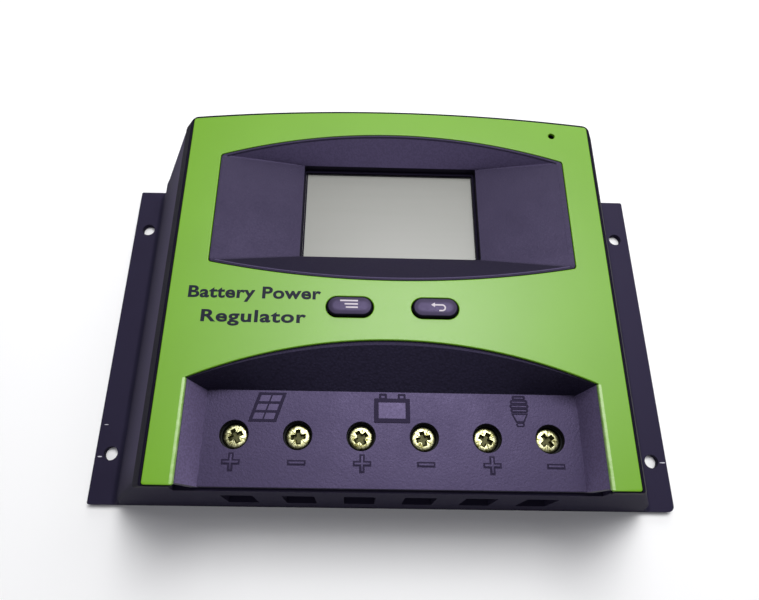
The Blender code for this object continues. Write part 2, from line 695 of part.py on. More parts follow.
def main_board():
    """Power board on the four standoffs, with clearance holes for the front bosses."""
    board = box("main_board", -BOARD_HALF, BOARD_HALF, *BOARD_Y, *BOARD_Z)
    holes = []
    for side in (-1, 1):
        holes.append(rod("boss_hole", side * BOSS_X, BOSS_Y[0], BOSS_RADIUS + 0.6, *THROUGH_BOARD, 20))
        for y in STANDOFF_Y:
            holes.append(rod("screw_hole", side * STANDOFF_X, y, SCREW_WAY_RADIUS, *THROUGH_BOARD, 16))
    cut(board, *holes)
    finish(board, "board_green")


HEAT_BAR_HALF = 50.0
HEAT_BAR_Y = (93.7, 100.0)
HEAT_BAR_TOP_Z = 27.0
MOSFET_X = (-33.0, -11.0, 11.0, 33.0)
MOSFET_HALF = 5.0
MOSFET_BODY_Y = (88.9, 92.3)
MOSFET_BODY_Z = (13.0, 22.0)
MOSFET_TAB_Y = (92.1, 93.4)
MOSFET_TAB_TOP_Z = 28.5
MOSFET_HOLE_Z = 25.5
LEG_PITCH = 2.54
LEG_HALF = 0.4
LEG_Y = (90.2, 90.8)
SPRING_HALF = 47.0
SPRING_Y = (87.1, 88.5)
SPRING_Z = (15.0, 20.0)
SPRING_FOOT = 2.0


def mosfet(index, x):
    """A power transistor on its legs, with its metal tab against the heat bar."""
    body = box("mosfet_%d" % index, x - MOSFET_HALF, x + MOSFET_HALF, *MOSFET_BODY_Y, *MOSFET_BODY_Z)
    tab = box("tab", x - MOSFET_HALF, x + MOSFET_HALF, *MOSFET_TAB_Y, MOSFET_BODY_Z[0], MOSFET_TAB_TOP_Z)
    legs = []
    for step in (-1, 0, 1):
        middle = x + step * LEG_PITCH
        legs.append(box("leg", middle - LEG_HALF, middle + LEG_HALF, *LEG_Y, ON_BOARD, MOSFET_BODY_Z[0] + 1.0))
    join(body, tab, *legs)
    cut(body, rod_along_y("tab_hole", x, MOSFET_HOLE_Z, 1.8, MOSFET_TAB_Y[0] - 2.0, MOSFET_TAB_Y[1] + 1.0))
    finish(body, "chip_black")


def rod_along_y(name, x, z, radius, y0, y1, steps=16):
    """A round solid that lies along Y."""
    made = rod(name, 0.0, 0.0, radius, y0, y1, steps)
    shift = Matrix.Translation(ORIGIN * MM)
    place = Matrix.Translation((Vector((x, 0.0, z)) - ORIGIN) * MM)
    turn = Matrix.Rotation(math.radians(-90.0), 4, "X")
    made.data.transform(place @ turn @ shift)
    return made


def power_stage():
    """Heat bar on the base plate, the transistors in front of it and the spring that holds them."""
    bar = box("heat_bar", -HEAT_BAR_HALF, HEAT_BAR_HALF, *HEAT_BAR_Y, BASE_THICKNESS + GAP, HEAT_BAR_TOP_Z)
    finish(bar, "aluminium")
    for index, x in enumerate(MOSFET_X, 1):
        mosfet(index, x)
    spring = box("mosfet_spring", -SPRING_HALF, SPRING_HALF, *SPRING_Y, *SPRING_Z)
    inner, outer = SPRING_HALF - SPRING_FOOT, SPRING_HALF
    feet = [box("foot", low, high, SPRING_Y[0] + 0.4, HEAT_BAR_Y[0] - GAP, *SPRING_Z)
            for low, high in ((-outer, -inner), (inner, outer))]
    finish(join(spring, *feet), "steel")


CAPACITOR_X = (-36.0, -14.0)
CAPACITOR_Y = 41.0
CAPACITOR_RADIUS = 8.0
CAPACITOR_HEIGHT = 20.0
CAPACITOR_GROOVE = 0.7
FUSE_X = 62.0
FUSE_Y = (42.0, 54.0)
FUSE_HALF = (9.5, 2.6)
FUSE_Z = (16.0, 25.0)
BLADE_X = 5.5                   # of each blade from the fuse's middle
BLADE_HALF = (2.6, 0.4)


def capacitor(index, x):
    """A can capacitor with a rolled groove near its foot."""
    radius, height = CAPACITOR_RADIUS, CAPACITOR_HEIGHT
    profile = [(radius, 0.0), (radius, 1.6), (radius - CAPACITOR_GROOVE, 2.3), (radius, 3.0),
               (radius, height - 0.6), (radius - 0.6, height)]
    can = loft("capacitor_%d" % index, [(circle(x, CAPACITOR_Y, r), ON_BOARD + z) for r, z in profile])
    finish(can, "capacitor_blue")


def fuse(index, y):
    """A blade fuse standing on the board."""
    half_x, half_y = FUSE_HALF
    body = box("fuse_%d" % index, FUSE_X - half_x, FUSE_X + half_x, y - half_y, y + half_y, *FUSE_Z)
    half_x, half_y = BLADE_HALF
    blades = []
    for middle in (FUSE_X - BLADE_X, FUSE_X + BLADE_X):
        blades.append(box("blade", middle - half_x, middle + half_x, y - half_y, y + half_y,
                          ON_BOARD, FUSE_Z[0] + 1.0))
    finish(join(body, *blades), "fuse_yellow")


SHUNT_X = (-64.0, -58.0)
SHUNT_Y = (44.0, 64.0)
SHUNT_TOP_Z = 17.0
SHUNT_THICKNESS = 2.0
CHIP_X, CHIP_Y = (-7.0, 7.0), (55.0, 69.0)
CHIP_HEIGHT = 1.6
BUZZER_X, BUZZER_Y = -36.0, 66.0
BUZZER_RADIUS = 6.0
BUZZER_HEIGHT = 8.5
HEADER_X = (24.0, 36.0)
BOARD_HEADER_Y, BOARD_HEADER_TOP_Z = (60.0, 65.0), 16.0
DISPLAY_HEADER_Y, DISPLAY_HEADER_BOTTOM_Z = (74.0, 79.0), 25.0
RIBBON_X = (25.0, 35.0)
RIBBON_THICKNESS = 0.6
RIBBON_STEPS = 16


def board_parts():
    """Smaller parts on the power board, and the link to the display board."""
    front, back = SHUNT_Y
    under = SHUNT_TOP_Z - SHUNT_THICKNESS
    shunt = side_strip("current_shunt", [
        (front, ON_BOARD), (front + SHUNT_THICKNESS, ON_BOARD), (front + SHUNT_THICKNESS, under),
        (back - SHUNT_THICKNESS, under), (back - SHUNT_THICKNESS, ON_BOARD), (back, ON_BOARD),
        (back, SHUNT_TOP_Z), (front, SHUNT_TOP_Z)], *SHUNT_X)
    finish(shunt, "copper")
    finish(box("microcontroller", *CHIP_X, *CHIP_Y, ON_BOARD, ON_BOARD + CHIP_HEIGHT), "chip_black")
    top = ON_BOARD + BUZZER_HEIGHT
    buzzer = rod("buzzer", BUZZER_X, BUZZER_Y, BUZZER_RADIUS, ON_BOARD, top)
    cut(buzzer, rod("sound_hole", BUZZER_X, BUZZER_Y, 1.0, top - 3.0, top + 1.0, 12))
    finish(buzzer, "chip_black")
    finish(box("board_header", *HEADER_X, *BOARD_HEADER_Y, ON_BOARD, BOARD_HEADER_TOP_Z), "diffuser_white")
    finish(box("display_header", *HEADER_X, *DISPLAY_HEADER_Y,
               DISPLAY_HEADER_BOTTOM_Z, DISPLAY_BOARD_Z[0] - GAP), "diffuser_white")
    ribbon_link()


def ribbon_link():
    """Flat cable in an S from the header on the power board up to the one under the display board."""
    low = (sum(BOARD_HEADER_Y) / 2.0, BOARD_HEADER_TOP_Z + GAP)
    high = (sum(DISPLAY_HEADER_Y) / 2.0, DISPLAY_HEADER_BOTTOM_Z - GAP)
    upper, lower = [], []
    for i in range(RIBBON_STEPS + 1):
        t = i / RIBBON_STEPS
        ease = t * t * (3.0 - 2.0 * t)
        y = low[0] + (high[0] - low[0]) * ease
        z = low[1] + (high[1] - low[1]) * t
        slope = 6.0 * t * (1.0 - t) * (high[0] - low[0])
        rise = high[1] - low[1]
        reach = RIBBON_THICKNESS / 2.0 / math.hypot(slope, rise)
        upper.append((y - rise * reach, z + slope * reach))
        lower.append((y + rise * reach, z - slope * reach))
    ribbon = side_strip("ribbon_cable", lower + list(reversed(upper)), *RIBBON_X)
    finish(ribbon, "ribbon_grey")


# ---- Fasteners -------------------------------------------------------------------------------------

SCREW_RADIUS = 1.3              # of the self-tapping screws' shanks
COVER_SCREW_Z = (0.4, 24.0)
COVER_SCREW_HEAD = 1.9
BOARD_SCREW_BOTTOM_Z = 2.6
BOARD_SCREW_HEAD = 1.8
BOARD_SCREW_HEAD_RADIUS = 2.8
CROSS_ARM = 1.6
CROSS_HALF = 0.4
CROSS_DEPTH = 1.1


def cover_screw(index, x, y):
    """Long screw up through the base plate into a boss of the cover, with its head in a counterbore."""
    low, high = COVER_SCREW_Z
    screw = rod("cover_screw_%d" % index, x, y, SCREW_RADIUS, low + 1.0, high, 12)
    join(screw, rod("head", x, y, COVER_SCREW_HEAD_RADIUS, low, low + COVER_SCREW_HEAD, 20))
    cross_cut(screw, x, y, low - 1.0, low + CROSS_DEPTH, CROSS_ARM, CROSS_HALF)
    finish(screw, "steel")


def board_screw(index, x, y):
    """Screw that holds a corner of the power board to its standoff."""
    top = ON_BOARD + BOARD_SCREW_HEAD
    screw = rod("board_screw_%d" % index, x, y, SCREW_RADIUS, BOARD_SCREW_BOTTOM_Z, ON_BOARD + 1.0, 12)
    join(screw, rod("head", x, y, BOARD_SCREW_HEAD_RADIUS, ON_BOARD, top, 20))
    cross_cut(screw, x, y, top - CROSS_DEPTH, top + 1.0, CROSS_ARM, CROSS_HALF)
    finish(screw, "steel")


def cross_cut(screw, x, y, z0, z1, arm, half):
    """Cuts a cross recess between two heights, with arms of that length and half width."""
    cut(screw, box("slot", x - arm, x + arm, y - half, y + half, z0, z1))
    cut(screw, box("slot", x - half, x + half, y - arm, y + arm, z0, z1))


def fasteners():
    """The four long cover screws and the four board screws, numbered from the front left."""
    index = 0
    for side in (-1, 1):
        for cover_y, board_y in zip(BOSS_Y, STANDOFF_Y):
            index += 1
            cover_screw(index, side * BOSS_X, cover_y)
            board_screw(index, side * STANDOFF_X, board_y)


# ---- Assembly --------------------------------------------------------------------------------------

def main():
    """Builds every piece of the controller."""
    for thing in list(bpy.data.objects):
        bpy.data.objects.remove(thing, do_unlink=True)
    lower_case()
    heat_sink_plate()
    top_cover()
    face_panel()
    display_stack()
    for prefix, side in (("menu", -1), ("return", 1)):
        key(prefix + "_button", side)
        key_switch(prefix, side)
    indicator_lamp()
    terminal_block()
    for index in range(1, TERMINAL_COUNT + 1):
        terminal(index)
    main_board()
    power_stage()
    for index, x in enumerate(CAPACITOR_X, 1):
        capacitor(index, x)
    for index, y in enumerate(FUSE_Y, 1):
        fuse(index, y)
    board_parts()
    fasteners()


main()
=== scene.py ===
"""Looks of a flanged solar charge controller: fine meshes, finishes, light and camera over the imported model.

Construction coordinates are millimetres: X from the middle, Y back from the front edge of the flanges,
Z up from the surface that the case is fixed to. Most of them are read from the boxes of the CAD nodes.
"""

import json
import math

import bmesh
import bpy
from mathutils import Euler, Matrix, Vector


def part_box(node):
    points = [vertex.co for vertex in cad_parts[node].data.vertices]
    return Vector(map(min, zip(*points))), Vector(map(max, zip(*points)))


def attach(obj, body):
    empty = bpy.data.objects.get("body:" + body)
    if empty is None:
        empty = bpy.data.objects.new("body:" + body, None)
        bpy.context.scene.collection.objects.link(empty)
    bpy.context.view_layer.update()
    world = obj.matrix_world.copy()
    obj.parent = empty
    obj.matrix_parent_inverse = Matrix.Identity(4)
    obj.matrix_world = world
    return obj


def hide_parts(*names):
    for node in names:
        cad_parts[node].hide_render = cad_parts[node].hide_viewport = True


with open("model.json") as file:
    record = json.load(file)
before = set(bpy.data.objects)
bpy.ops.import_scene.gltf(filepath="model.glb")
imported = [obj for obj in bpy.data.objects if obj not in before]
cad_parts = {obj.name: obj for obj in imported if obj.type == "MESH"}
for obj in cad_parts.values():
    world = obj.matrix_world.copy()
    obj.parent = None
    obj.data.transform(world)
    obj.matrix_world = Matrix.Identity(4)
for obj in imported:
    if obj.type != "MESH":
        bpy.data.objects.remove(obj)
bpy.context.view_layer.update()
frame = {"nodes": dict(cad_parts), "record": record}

MM = 0.001

# ---- Sizes ----

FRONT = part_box("lower_case")[0].y / MM


def span(node):
    """A node's box as ((x0, x1), (y0, y1), (z0, z1)) in construction millimetres."""
    low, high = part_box(node)
    across, up = (low.x / MM, high.x / MM), (low.z / MM, high.z / MM)
    return across, (low.y / MM - FRONT, high.y / MM - FRONT), up


def middle(pair):
    """Halfway between two numbers."""
    return (pair[0] + pair[1]) / 2.0


CASE_X, CASE_Y, CASE_Z = span("lower_case")
PANEL_X, PANEL_Y, PANEL_Z = span("face_panel")
COVER_X, COVER_Y = span("top_cover")[:2]

FLANGE_HALF = CASE_X[1]
BACK_RISE = 3.8  # bow of the back wall
FLANGE_DEPTH = CASE_Y[1] - BACK_RISE
FLANGE_TOP = 2.2
FLANGE_CORNER = 2.0
HOLE_X, HOLE_Y = 89.6, (16.0, 99.8)
HOLE_RADIUS = 2.25
RIM_Z = CASE_Z[1]
FOOT_HALF, KNEE_HALF, RIM_HALF = 85.3, 81.3, 66.3
KNEE_Z = 12.5
FRONT_LEAN = 2.0
BACK_LEAN = 0.4
WALL = 2.2
SIDE_WALL = 2.4
CASE_CORNER = 1.2  # radius between the front wall and the side walls
CASE_BACK_CORNER = 3.2

FACE_Z = PANEL_Z[1]
COVER_RIM_Z = 48.3
COVER_BOTTOM_Z = 44.5
COVER_LOW_HALF, COVER_TOP_HALF = COVER_X[1], 63.9
COVER_FRONT = COVER_Y[0]
COVER_BACK = 116.0
PANEL_HALF = PANEL_X[1] + 0.5
FACE_SHIFT, RECESS_SHIFT = 0.35, 0.6  # how far right of the middle the face and its recess sit
PANEL_FRONT = PANEL_Y[0]
PANEL_BACK = PANEL_Y[1] - BACK_RISE
PANEL_THICKNESS = FACE_Z - PANEL_Z[0]
SEAM = 0.18  # visible gap round the panel

DISPLAY_HALF = 53.5
DISPLAY_BOTTOM, DISPLAY_TOP = 64.1, 101.3
DISPLAY_BOTTOM_RISE, DISPLAY_TOP_RISE = 5.1, 8.8
LIP = 0.45  # rim of the cover that shows round the display recess
WINDOW_HALF = 27.4
WINDOW_BOTTOM, WINDOW_TOP = 69.3, 101.8
WINDOW_Z, SILL_Z = 42.6, 40.6

BAY_HALF, BAY_BACK, BAY_RISE = 55.5, 29.55, 11.45
BAY_FLOOR_Z = 38.0
BAY_FLOOR_HALF, BAY_FLOOR_BACK = 52.3, 28.9
BAY_FLOOR_THICKNESS = 2.0
BAY_LIP_Y = 2.4
BAY_SHELL = 2.2
ACCESS_RADIUS = 4.0
SLOT_HALF = 4.6
SLOT_Z = (11.5, 27.0)

TERMINALS = range(1, 7)
TERMINAL_X = {k: middle(span(f"terminal_screw_{k}")[0]) for k in TERMINALS}
BAY_SHIFT = middle((TERMINAL_X[1], TERMINAL_X[6]))
SCREW_Y = middle(span("terminal_screw_1")[1])
SCREW_TOP_Z = span("terminal_screw_1")[2][1]

KEY_LENGTH, KEY_WIDTH, KEY_GAP = 12.7, 5.6, 0.4
SKIRT_Z, SKIRT_REACH = (43.0, 44.1), 1.2  # the flange that holds each key under the cover
STEM_RADIUS = 1.8
KEYS = {"menu": "menu_button", "return": "return_button"}
KEY_TOP_Z = span("menu_button")[2][1]
LAMP_X = middle(span("indicator_lamp")[0]) + FACE_SHIFT
LAMP_Y = middle(span("indicator_lamp")[1])
LAMP_HOLE_RADIUS = 1.0

ARC_STEPS = 48
ROUND_STEPS = 48
CORNER_STEPS = 6


def at(x, y, z):
    """A construction point in metres, in the frame of the CAD."""
    return Vector((x * MM, (y + FRONT) * MM, z * MM))


def linked(name, data):
    """A new object in the scene."""
    made = bpy.data.objects.new(name, data)
    bpy.context.scene.collection.objects.link(made)
    return made


# ---- Camera and light ----

LENS = 28.46
CAMERA_PLACE = (-9.9, -13.5, 204.7)
CAMERA_TURN = (22.3, -1.33, 0.65)
CAMERA_SHIFT = (0.0172, 0.0095)


def make_camera():
    """The camera, 20 cm above the front edge, looking down and back over the face."""
    data = bpy.data.cameras.new("camera")
    data.lens = LENS
    data.sensor_width = 36.0
    data.shift_x, data.shift_y = CAMERA_SHIFT
    data.clip_start = 0.01
    camera = linked("camera", data)
    camera.location = at(*CAMERA_PLACE)
    camera.rotation_euler = Euler([math.radians(a) for a in CAMERA_TURN], "XYZ")
    bpy.context.scene.camera = camera


def softbox(name, place, target, size, power):
    """A rectangular area light at a place, aimed at a target, all in metres."""
    data = bpy.data.lights.new(name, "AREA")
    data.shape = "RECTANGLE"
    data.size, data.size_y = size
    data.energy = power
    light = linked(name, data)
    light.location = place
    light.rotation_euler = (Vector(target) - Vector(place)).to_track_quat("-Z", "Y").to_euler()


def make_light():
    """A key above the face, large soft panels above, at the side and low at the back, and a weak fill."""
    softbox("key", (0.05, 0.15, 0.52), (0.02, 0.01, 0.03), (0.18, 0.20), 1.18)
    softbox("ceiling", (0.04, 0.34, 1.00), (0.0, 0.0, 0.0), (0.75, 0.60), 5.0)
    softbox("side", (0.55, 0.36, 0.95), (0.0, 0.0, 0.0), (0.50, 0.50), 1.7)
    softbox("back", (0.10, 0.58, 0.34), (0.0, 0.0, 0.03), (0.60, 0.30), 1.5)
    softbox("front_fill", (-0.05, -0.60, 0.90), (0.0, 0.0, 0.0), (0.40, 0.30), 0.9)
    world = bpy.data.worlds.new("surround")
    world.use_nodes = True
    background = world.node_tree.nodes["Background"]
    background.inputs["Color"].default_value = (0.90, 0.90, 1.0, 1.0)
    background.inputs["Strength"].default_value = 0.16
    bpy.context.scene.world = world
    bpy.context.scene.view_settings.view_transform = "Standard"


# ---- Outlines, as lists of (x, y) ----

def arc(half, level, rise, margin=0.0):
    """A circular arc from +half to -half, its ends at level and its middle at level + rise."""
    inner = half - margin
    ends = 1 if margin else 0
    places = [half] * ends + [inner - 2.0 * inner * i / ARC_STEPS for i in range(ARC_STEPS + 1)]
    places += [-half] * ends
    if not rise:
        return [(x, level) for x in places]
    radius = (half * half + rise * rise) / (2.0 * abs(rise))
    side = math.copysign(1.0, rise)
    height = [math.sqrt(radius * radius - x * x) - radius + abs(rise) for x in places]
    return [(x, level + side * h) for x, h in zip(places, height)]


def rounded(points, radii, steps=CORNER_STEPS):
    """An outline whose corners, given as {index: radius}, are replaced by arcs."""
    made = []
    for index, point in enumerate(points):
        radius = radii.get(index, 0.0)
        if radius <= 0.0:
            made.append(point)
            continue
        corner = Vector(point)
        back = (Vector(points[index - 1]) - corner).normalized()
        ahead = (Vector(points[(index + 1) % len(points)]) - corner).normalized()
        half_angle = back.angle(ahead) / 2.0
        reach = radius / math.tan(half_angle)
        centre = corner + (back + ahead).normalized() * radius / math.sin(half_angle)
        first, last = corner + back * reach - centre, corner + ahead * reach - centre
        turn = first.angle_signed(last)
        for step in range(steps + 1):
            c, s = math.cos(turn * step / steps), math.sin(turn * step / steps)
            made.append((centre.x + first.x * c + first.y * s, centre.y - first.x * s + first.y * c))
    return made


def body_outline(half, front, back, front_corner, back_corner):
    """Plan of the housing: straight front and sides and a bowed back."""
    margin = back_corner * 1.6
    points = [(-half, front), (half, front)] + arc(half, back, BACK_RISE, margin=margin)
    corners = {0: front_corner, 1: front_corner, 2: back_corner, len(points) - 1: back_corner}
    return rounded(points, corners)


def four_sided(lower, upper, radius, shift):
    """An outline from a lower and an upper run of points, its four corners rounded, moved to the right."""
    points = lower + upper
    count = len(lower)
    return moved(rounded(points, {i: radius for i in (0, count - 1, count, len(points) - 1)}), shift)


def moved(points, shift):
    """An outline moved to the right."""
    return [(x + shift, y) for x, y in points]


def mirrored(points):
    """An outline with left and right exchanged."""
    return [(-x, y) for x, y in points]


def display_outline(grow=0.0):
    """Plan of the display recess at the face, between two arcs."""
    half = DISPLAY_HALF + grow
    lower = mirrored(arc(half, DISPLAY_BOTTOM - grow, -DISPLAY_BOTTOM_RISE))
    return four_sided(lower, arc(half, DISPLAY_TOP + grow, DISPLAY_TOP_RISE), 0.9, RECESS_SHIFT)


def window_outline(grow=0.0):
    """Plan of the window, point for point with the recess."""
    half = WINDOW_HALF + grow
    lower = mirrored(arc(half, WINDOW_BOTTOM - grow, 0.0))
    return four_sided(lower, arc(half, WINDOW_TOP + grow, 0.0), 0.35, RECESS_SHIFT / 3.0)


def bay_outline(front, grow=0.0):
    """Plan of the terminal bay at the face."""
    half = BAY_HALF + grow
    return four_sided([(-half, front), (half, front)], arc(half, BAY_BACK + grow, BAY_RISE), 0.7, FACE_SHIFT)


def bay_floor_outline(front, grow=0.0):
    """Plan of the bay's floor, point for point with the bay."""
    half = BAY_FLOOR_HALF + grow
    back = arc(half, BAY_FLOOR_BACK + grow, 0.0)
    return four_sided([(-half, front), (half, front)], back, 0.7, BAY_SHIFT)


def blended(first, second, t):
    """An outline part of the way from one to another that has as many points."""
    return [(a + (c - a) * t, b + (d - b) * t) for (a, b), (c, d) in zip(first, second)]


def circle(x, y, radius, steps=ROUND_STEPS):
    """A circle, counter-clockwise."""
    angles = [math.tau * i / steps for i in range(steps)]
    return [(x + radius * math.cos(a), y + radius * math.sin(a)) for a in angles]


def stadium(x, y, length, width, steps=20):
    """A slot outline with round ends, long along X."""
    radius = width / 2.0
    reach = length / 2.0 - radius
    points = []
    for end, start in ((reach, -math.pi / 2.0), (-reach, math.pi / 2.0)):
        for i in range(steps + 1):
            angle = start + math.pi * i / steps
            points.append((x + end + radius * math.cos(angle), y + radius * math.sin(angle)))
    return points


def rectangle(x0, x1, y0, y1, radius=0.0):
    """A rectangle, with round corners if a radius is given."""
    points = [(x0, y0), (x1, y0), (x1, y1), (x0, y1)]
    return rounded(points, {i: radius for i in range(4)}) if radius else points


# ---- Meshes ----

def new_object(name, mesh):
    """An object for a bmesh, which is freed."""
    data = bpy.data.meshes.new(name)
    bmesh.ops.recalc_face_normals(mesh, faces=mesh.faces)
    mesh.to_mesh(data)
    mesh.free()
    return linked(name, data)


def skin(name, rings, stacked=True, looped=True):
    """A closed solid through rings of as many (x, y, z) points each.

    The rings are stacked with a cap at each end, or go once round a section. Each is a loop or an open line.
    """
    mesh = bmesh.new()
    loops = [[mesh.verts.new(at(*point)) for point in ring] for ring in rings]
    if stacked:
        mesh.faces.new(list(reversed(loops[0])))
        mesh.faces.new(loops[-1])
    count = len(loops[0])
    pairs = list(zip(loops, loops[1:] + loops[:1]))
    for low, high in pairs[:-1] if stacked else pairs:
        for i in range(count if looped else count - 1):
            j = (i + 1) % count
            mesh.faces.new((low[i], low[j], high[j], high[i]))
    if not looped:
        mesh.faces.new([line[0] for line in loops])
        mesh.faces.new([line[-1] for line in reversed(loops)])
    return new_object(name, mesh)


def loft(name, rings, **kind):
    """A skin through level rings, each given as (outline, z)."""
    return skin(name, [[(x, y, z) for x, y in outline] for outline, z in rings], **kind)


def prism(name, outline, z0, z1):
    """A straight-sided solid on an outline."""
    return loft(name, [(outline, z0), (outline, z1)])


def turned(name, x, y, profile, steps=ROUND_STEPS):
    """An upright turned solid through (radius, z), lowest first."""
    return loft(name, [(circle(x, y, r, steps), z) for r, z in profile])


def evaluated(source):
    """A mesh of an object as its curve or its modifiers shape it."""
    bpy.context.view_layer.update()
    return bpy.data.meshes.new_from_object(source.evaluated_get(bpy.context.evaluated_depsgraph_get()))


def curve_mesh(name, curve):
    """A mesh of a filled curve or a text."""
    source = linked(name, curve)
    data = evaluated(source)
    bpy.data.objects.remove(source, do_unlink=True)
    return data


def welded(name, data):
    """An object for a mesh, which is removed, with its doubled points merged."""
    mesh = bmesh.new()
    mesh.from_mesh(data)
    bmesh.ops.remove_doubles(mesh, verts=mesh.verts, dist=1e-6)
    bpy.data.meshes.remove(data)
    return new_object(name, mesh)


def plate(name, outlines, z0, z1, edge, edge_steps=3):
    """A flat plate whose first outline is its edge and whose others are holes, with rounded edges."""
    curve = bpy.data.curves.new(name, "CURVE")
    curve.dimensions = "2D"
    curve.fill_mode = "BOTH"
    curve.extrude = (z1 - z0) / 2.0 * MM - edge * MM
    curve.bevel_depth = edge * MM
    curve.offset = -edge * MM
    curve.bevel_resolution = edge_steps
    for outline in outlines:
        spline = curve.splines.new("POLY")
        spline.points.add(len(outline) - 1)
        spline.use_cyclic_u = True
        for point, (x, y) in zip(spline.points, outline):
            point.co = (*at(x, y, 0.0).xy, 0.0, 1.0)
    data = curve_mesh(name, curve)
    data.transform(Matrix.Translation((0.0, 0.0, middle((z0, z1)) * MM)))
    return welded(name, data)


def modify(solid, kind, **settings):
    """Adds a modifier with its settings."""
    modifier = solid.modifiers.new(kind.lower(), kind)
    for key, value in settings.items():
        setattr(modifier, key, value)


def combine(target, others, operation):
    """Joins others to the target, or cuts them out of it, and removes them."""
    for other in others:
        modify(target, "BOOLEAN", operation=operation, solver="EXACT", object=other)
    result = evaluated(target)
    target.modifiers.clear()
    target.data = result
    for other in others:
        bpy.data.objects.remove(other, do_unlink=True)
    return target


def join(target, *others):
    """The target with the other solids added."""
    return combine(target, others, "UNION")


def cut(target, *cutters):
    """The target with the cutters taken out."""
    return combine(target, cutters, "DIFFERENCE")


def tidy(solid):
    """Merges what a cut leaves split: doubled points and flat faces in pieces."""
    mesh = bmesh.new()
    mesh.from_mesh(solid.data)
    bmesh.ops.remove_doubles(mesh, verts=mesh.verts, dist=4e-6)
    bmesh.ops.dissolve_degenerate(mesh, edges=mesh.edges, dist=4e-6)
    bmesh.ops.dissolve_limit(mesh, angle_limit=math.radians(0.2), verts=mesh.verts, edges=mesh.edges)
    mesh.to_mesh(solid.data)
    mesh.free()
    return solid


def soften(solid, angle, width=0.0):
    """Shades a solid smooth except at edges over an angle, which are rounded if a width is given."""
    solid.data.shade_smooth()
    solid.data.set_sharp_from_angle(angle=math.radians(angle))
    if width:
        modify(solid, "BEVEL", width=width * MM, segments=2, limit_method="ANGLE", harden_normals=True,
               angle_limit=math.radians(angle), use_clamp_overlap=False, miter_outer="MITER_ARC")
    else:
        modify(solid, "WEIGHTED_NORMAL", keep_sharp=True, weight=100)
    return solid


def place(piece, finish, slot="cover_black", *nodes, body="housing", smooth=None):
    """Gives a finished piece its material and its body and hides the nodes that it stands for; the slot is not
    used.
    """
    if smooth:
        soften(piece, smooth)
    piece.data.materials.clear()
    piece.data.materials.append(finish)
    if nodes:
        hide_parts(*nodes)
    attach(piece, body)


def face_finish(piece, finish, chooses):
    """Gives a second finish to the faces whose centre and normal are chosen."""
    piece.data.materials.append(finish)
    extra = len(piece.data.materials) - 1
    for polygon in piece.data.polygons:
        if chooses(polygon.center, polygon.normal):
            polygon.material_index = extra


# ---- Materials ----

WHITE = (1.0, 1.0, 1.0)


class Finish:
    """A Principled material, with short ways to wire procedural detail into it."""

    def __init__(self, name, colour, roughness, metallic=0.0, specular=0.5, tint=WHITE):
        self.material = bpy.data.materials.new(name)
        self.material.use_nodes = True
        self.tree = self.material.node_tree
        self.shader = self.tree.nodes["Principled BSDF"]
        self.set("Base Color", (*colour, 1.0))
        self.set("Roughness", roughness)
        self.set("Metallic", metallic)
        self.set("Specular IOR Level", specular)
        self.set("Specular Tint", (*tint, 1.0))
        self.place = self.node("ShaderNodeTexCoord").outputs["Object"]

    def set(self, socket, value):
        """Sets a constant on the shader's own socket."""
        self.shader.inputs[socket].default_value = value

    def link(self, output, socket):
        """Wires an output to one of the shader's sockets."""
        self.tree.links.new(output, self.shader.inputs[socket])

    def node(self, kind, **settings):
        """A node with its settings and, under inputs, its socket values or links."""
        made = self.tree.nodes.new(kind)
        inputs = settings.pop("inputs", {})
        for key, value in settings.items():
            setattr(made, key, value)
        for key, value in inputs.items():
            if isinstance(value, bpy.types.NodeSocket):
                self.tree.links.new(value, made.inputs[key])
            else:
                made.inputs[key].default_value = value
        return made

    def math(self, operation, first, second):
        """One arithmetic step on sockets or numbers."""
        return self.node("ShaderNodeMath", operation=operation, inputs={0: first, 1: second}).outputs[0]

    def stretched(self, factors):
        """Object coordinates multiplied along the axes, for brushed or drawn surfaces."""
        inputs = {"Vector": self.place, "Scale": factors}
        return self.node("ShaderNodeMapping", inputs=inputs).outputs["Vector"]

    def split(self):
        """The three object coordinates."""
        return self.node("ShaderNodeSeparateXYZ", inputs={0: self.place}).outputs

    def noise(self, size, detail=4.0, roughness=0.55, vector=None):
        """Noise from 0 to 1 with features of about that size in millimetres."""
        inputs = {"Vector": vector or self.place, "Scale": 1.0 / (size * MM), "Detail": detail,
                  "Roughness": roughness}
        return self.node("ShaderNodeTexNoise", inputs=inputs).outputs["Fac"]

    def between(self, value, low, high, new_low, new_high):
        """A value mapped from one range to another, and held within it."""
        inputs = {"Value": value, "From Min": low, "From Max": high, "To Min": new_low, "To Max": new_high}
        return self.node("ShaderNodeMapRange", inputs=inputs).outputs["Result"]

    def spread(self, noise, low=0.0, high=1.0):
        """A noise's usual range mapped to another, and held within it."""
        return self.between(noise, 0.3, 0.7, low, high)

    def blend(self, factor, first, second):
        """A colour between two, which are colours or sockets."""
        ends = [c if isinstance(c, bpy.types.NodeSocket) else (*c, 1.0) for c in (first, second)]
        inputs = {0: factor, 6: ends[0], 7: ends[1]}
        return self.node("ShaderNodeMix", data_type="RGBA", inputs=inputs).outputs[2]

    def vary(self, factor, first, second):
        """Makes the base colour go from one to another with a factor."""
        self.link(self.blend(factor, first, second), "Base Color")

    def gloss(self, noise, low, high):
        """Makes the roughness follow a noise."""
        self.link(self.spread(noise, low, high), "Roughness")

    def bump(self, height, depth):
        """Raises the surface by a height map whose full range is depth millimetres."""
        inputs = {"Height": height, "Distance": depth * MM, "Strength": 1.0}
        self.link(self.node("ShaderNodeBump", inputs=inputs).outputs["Normal"], "Normal")


def scaled(colour, factor):
    """A colour made lighter or darker."""
    return tuple(min(1.0, c * factor) for c in colour)


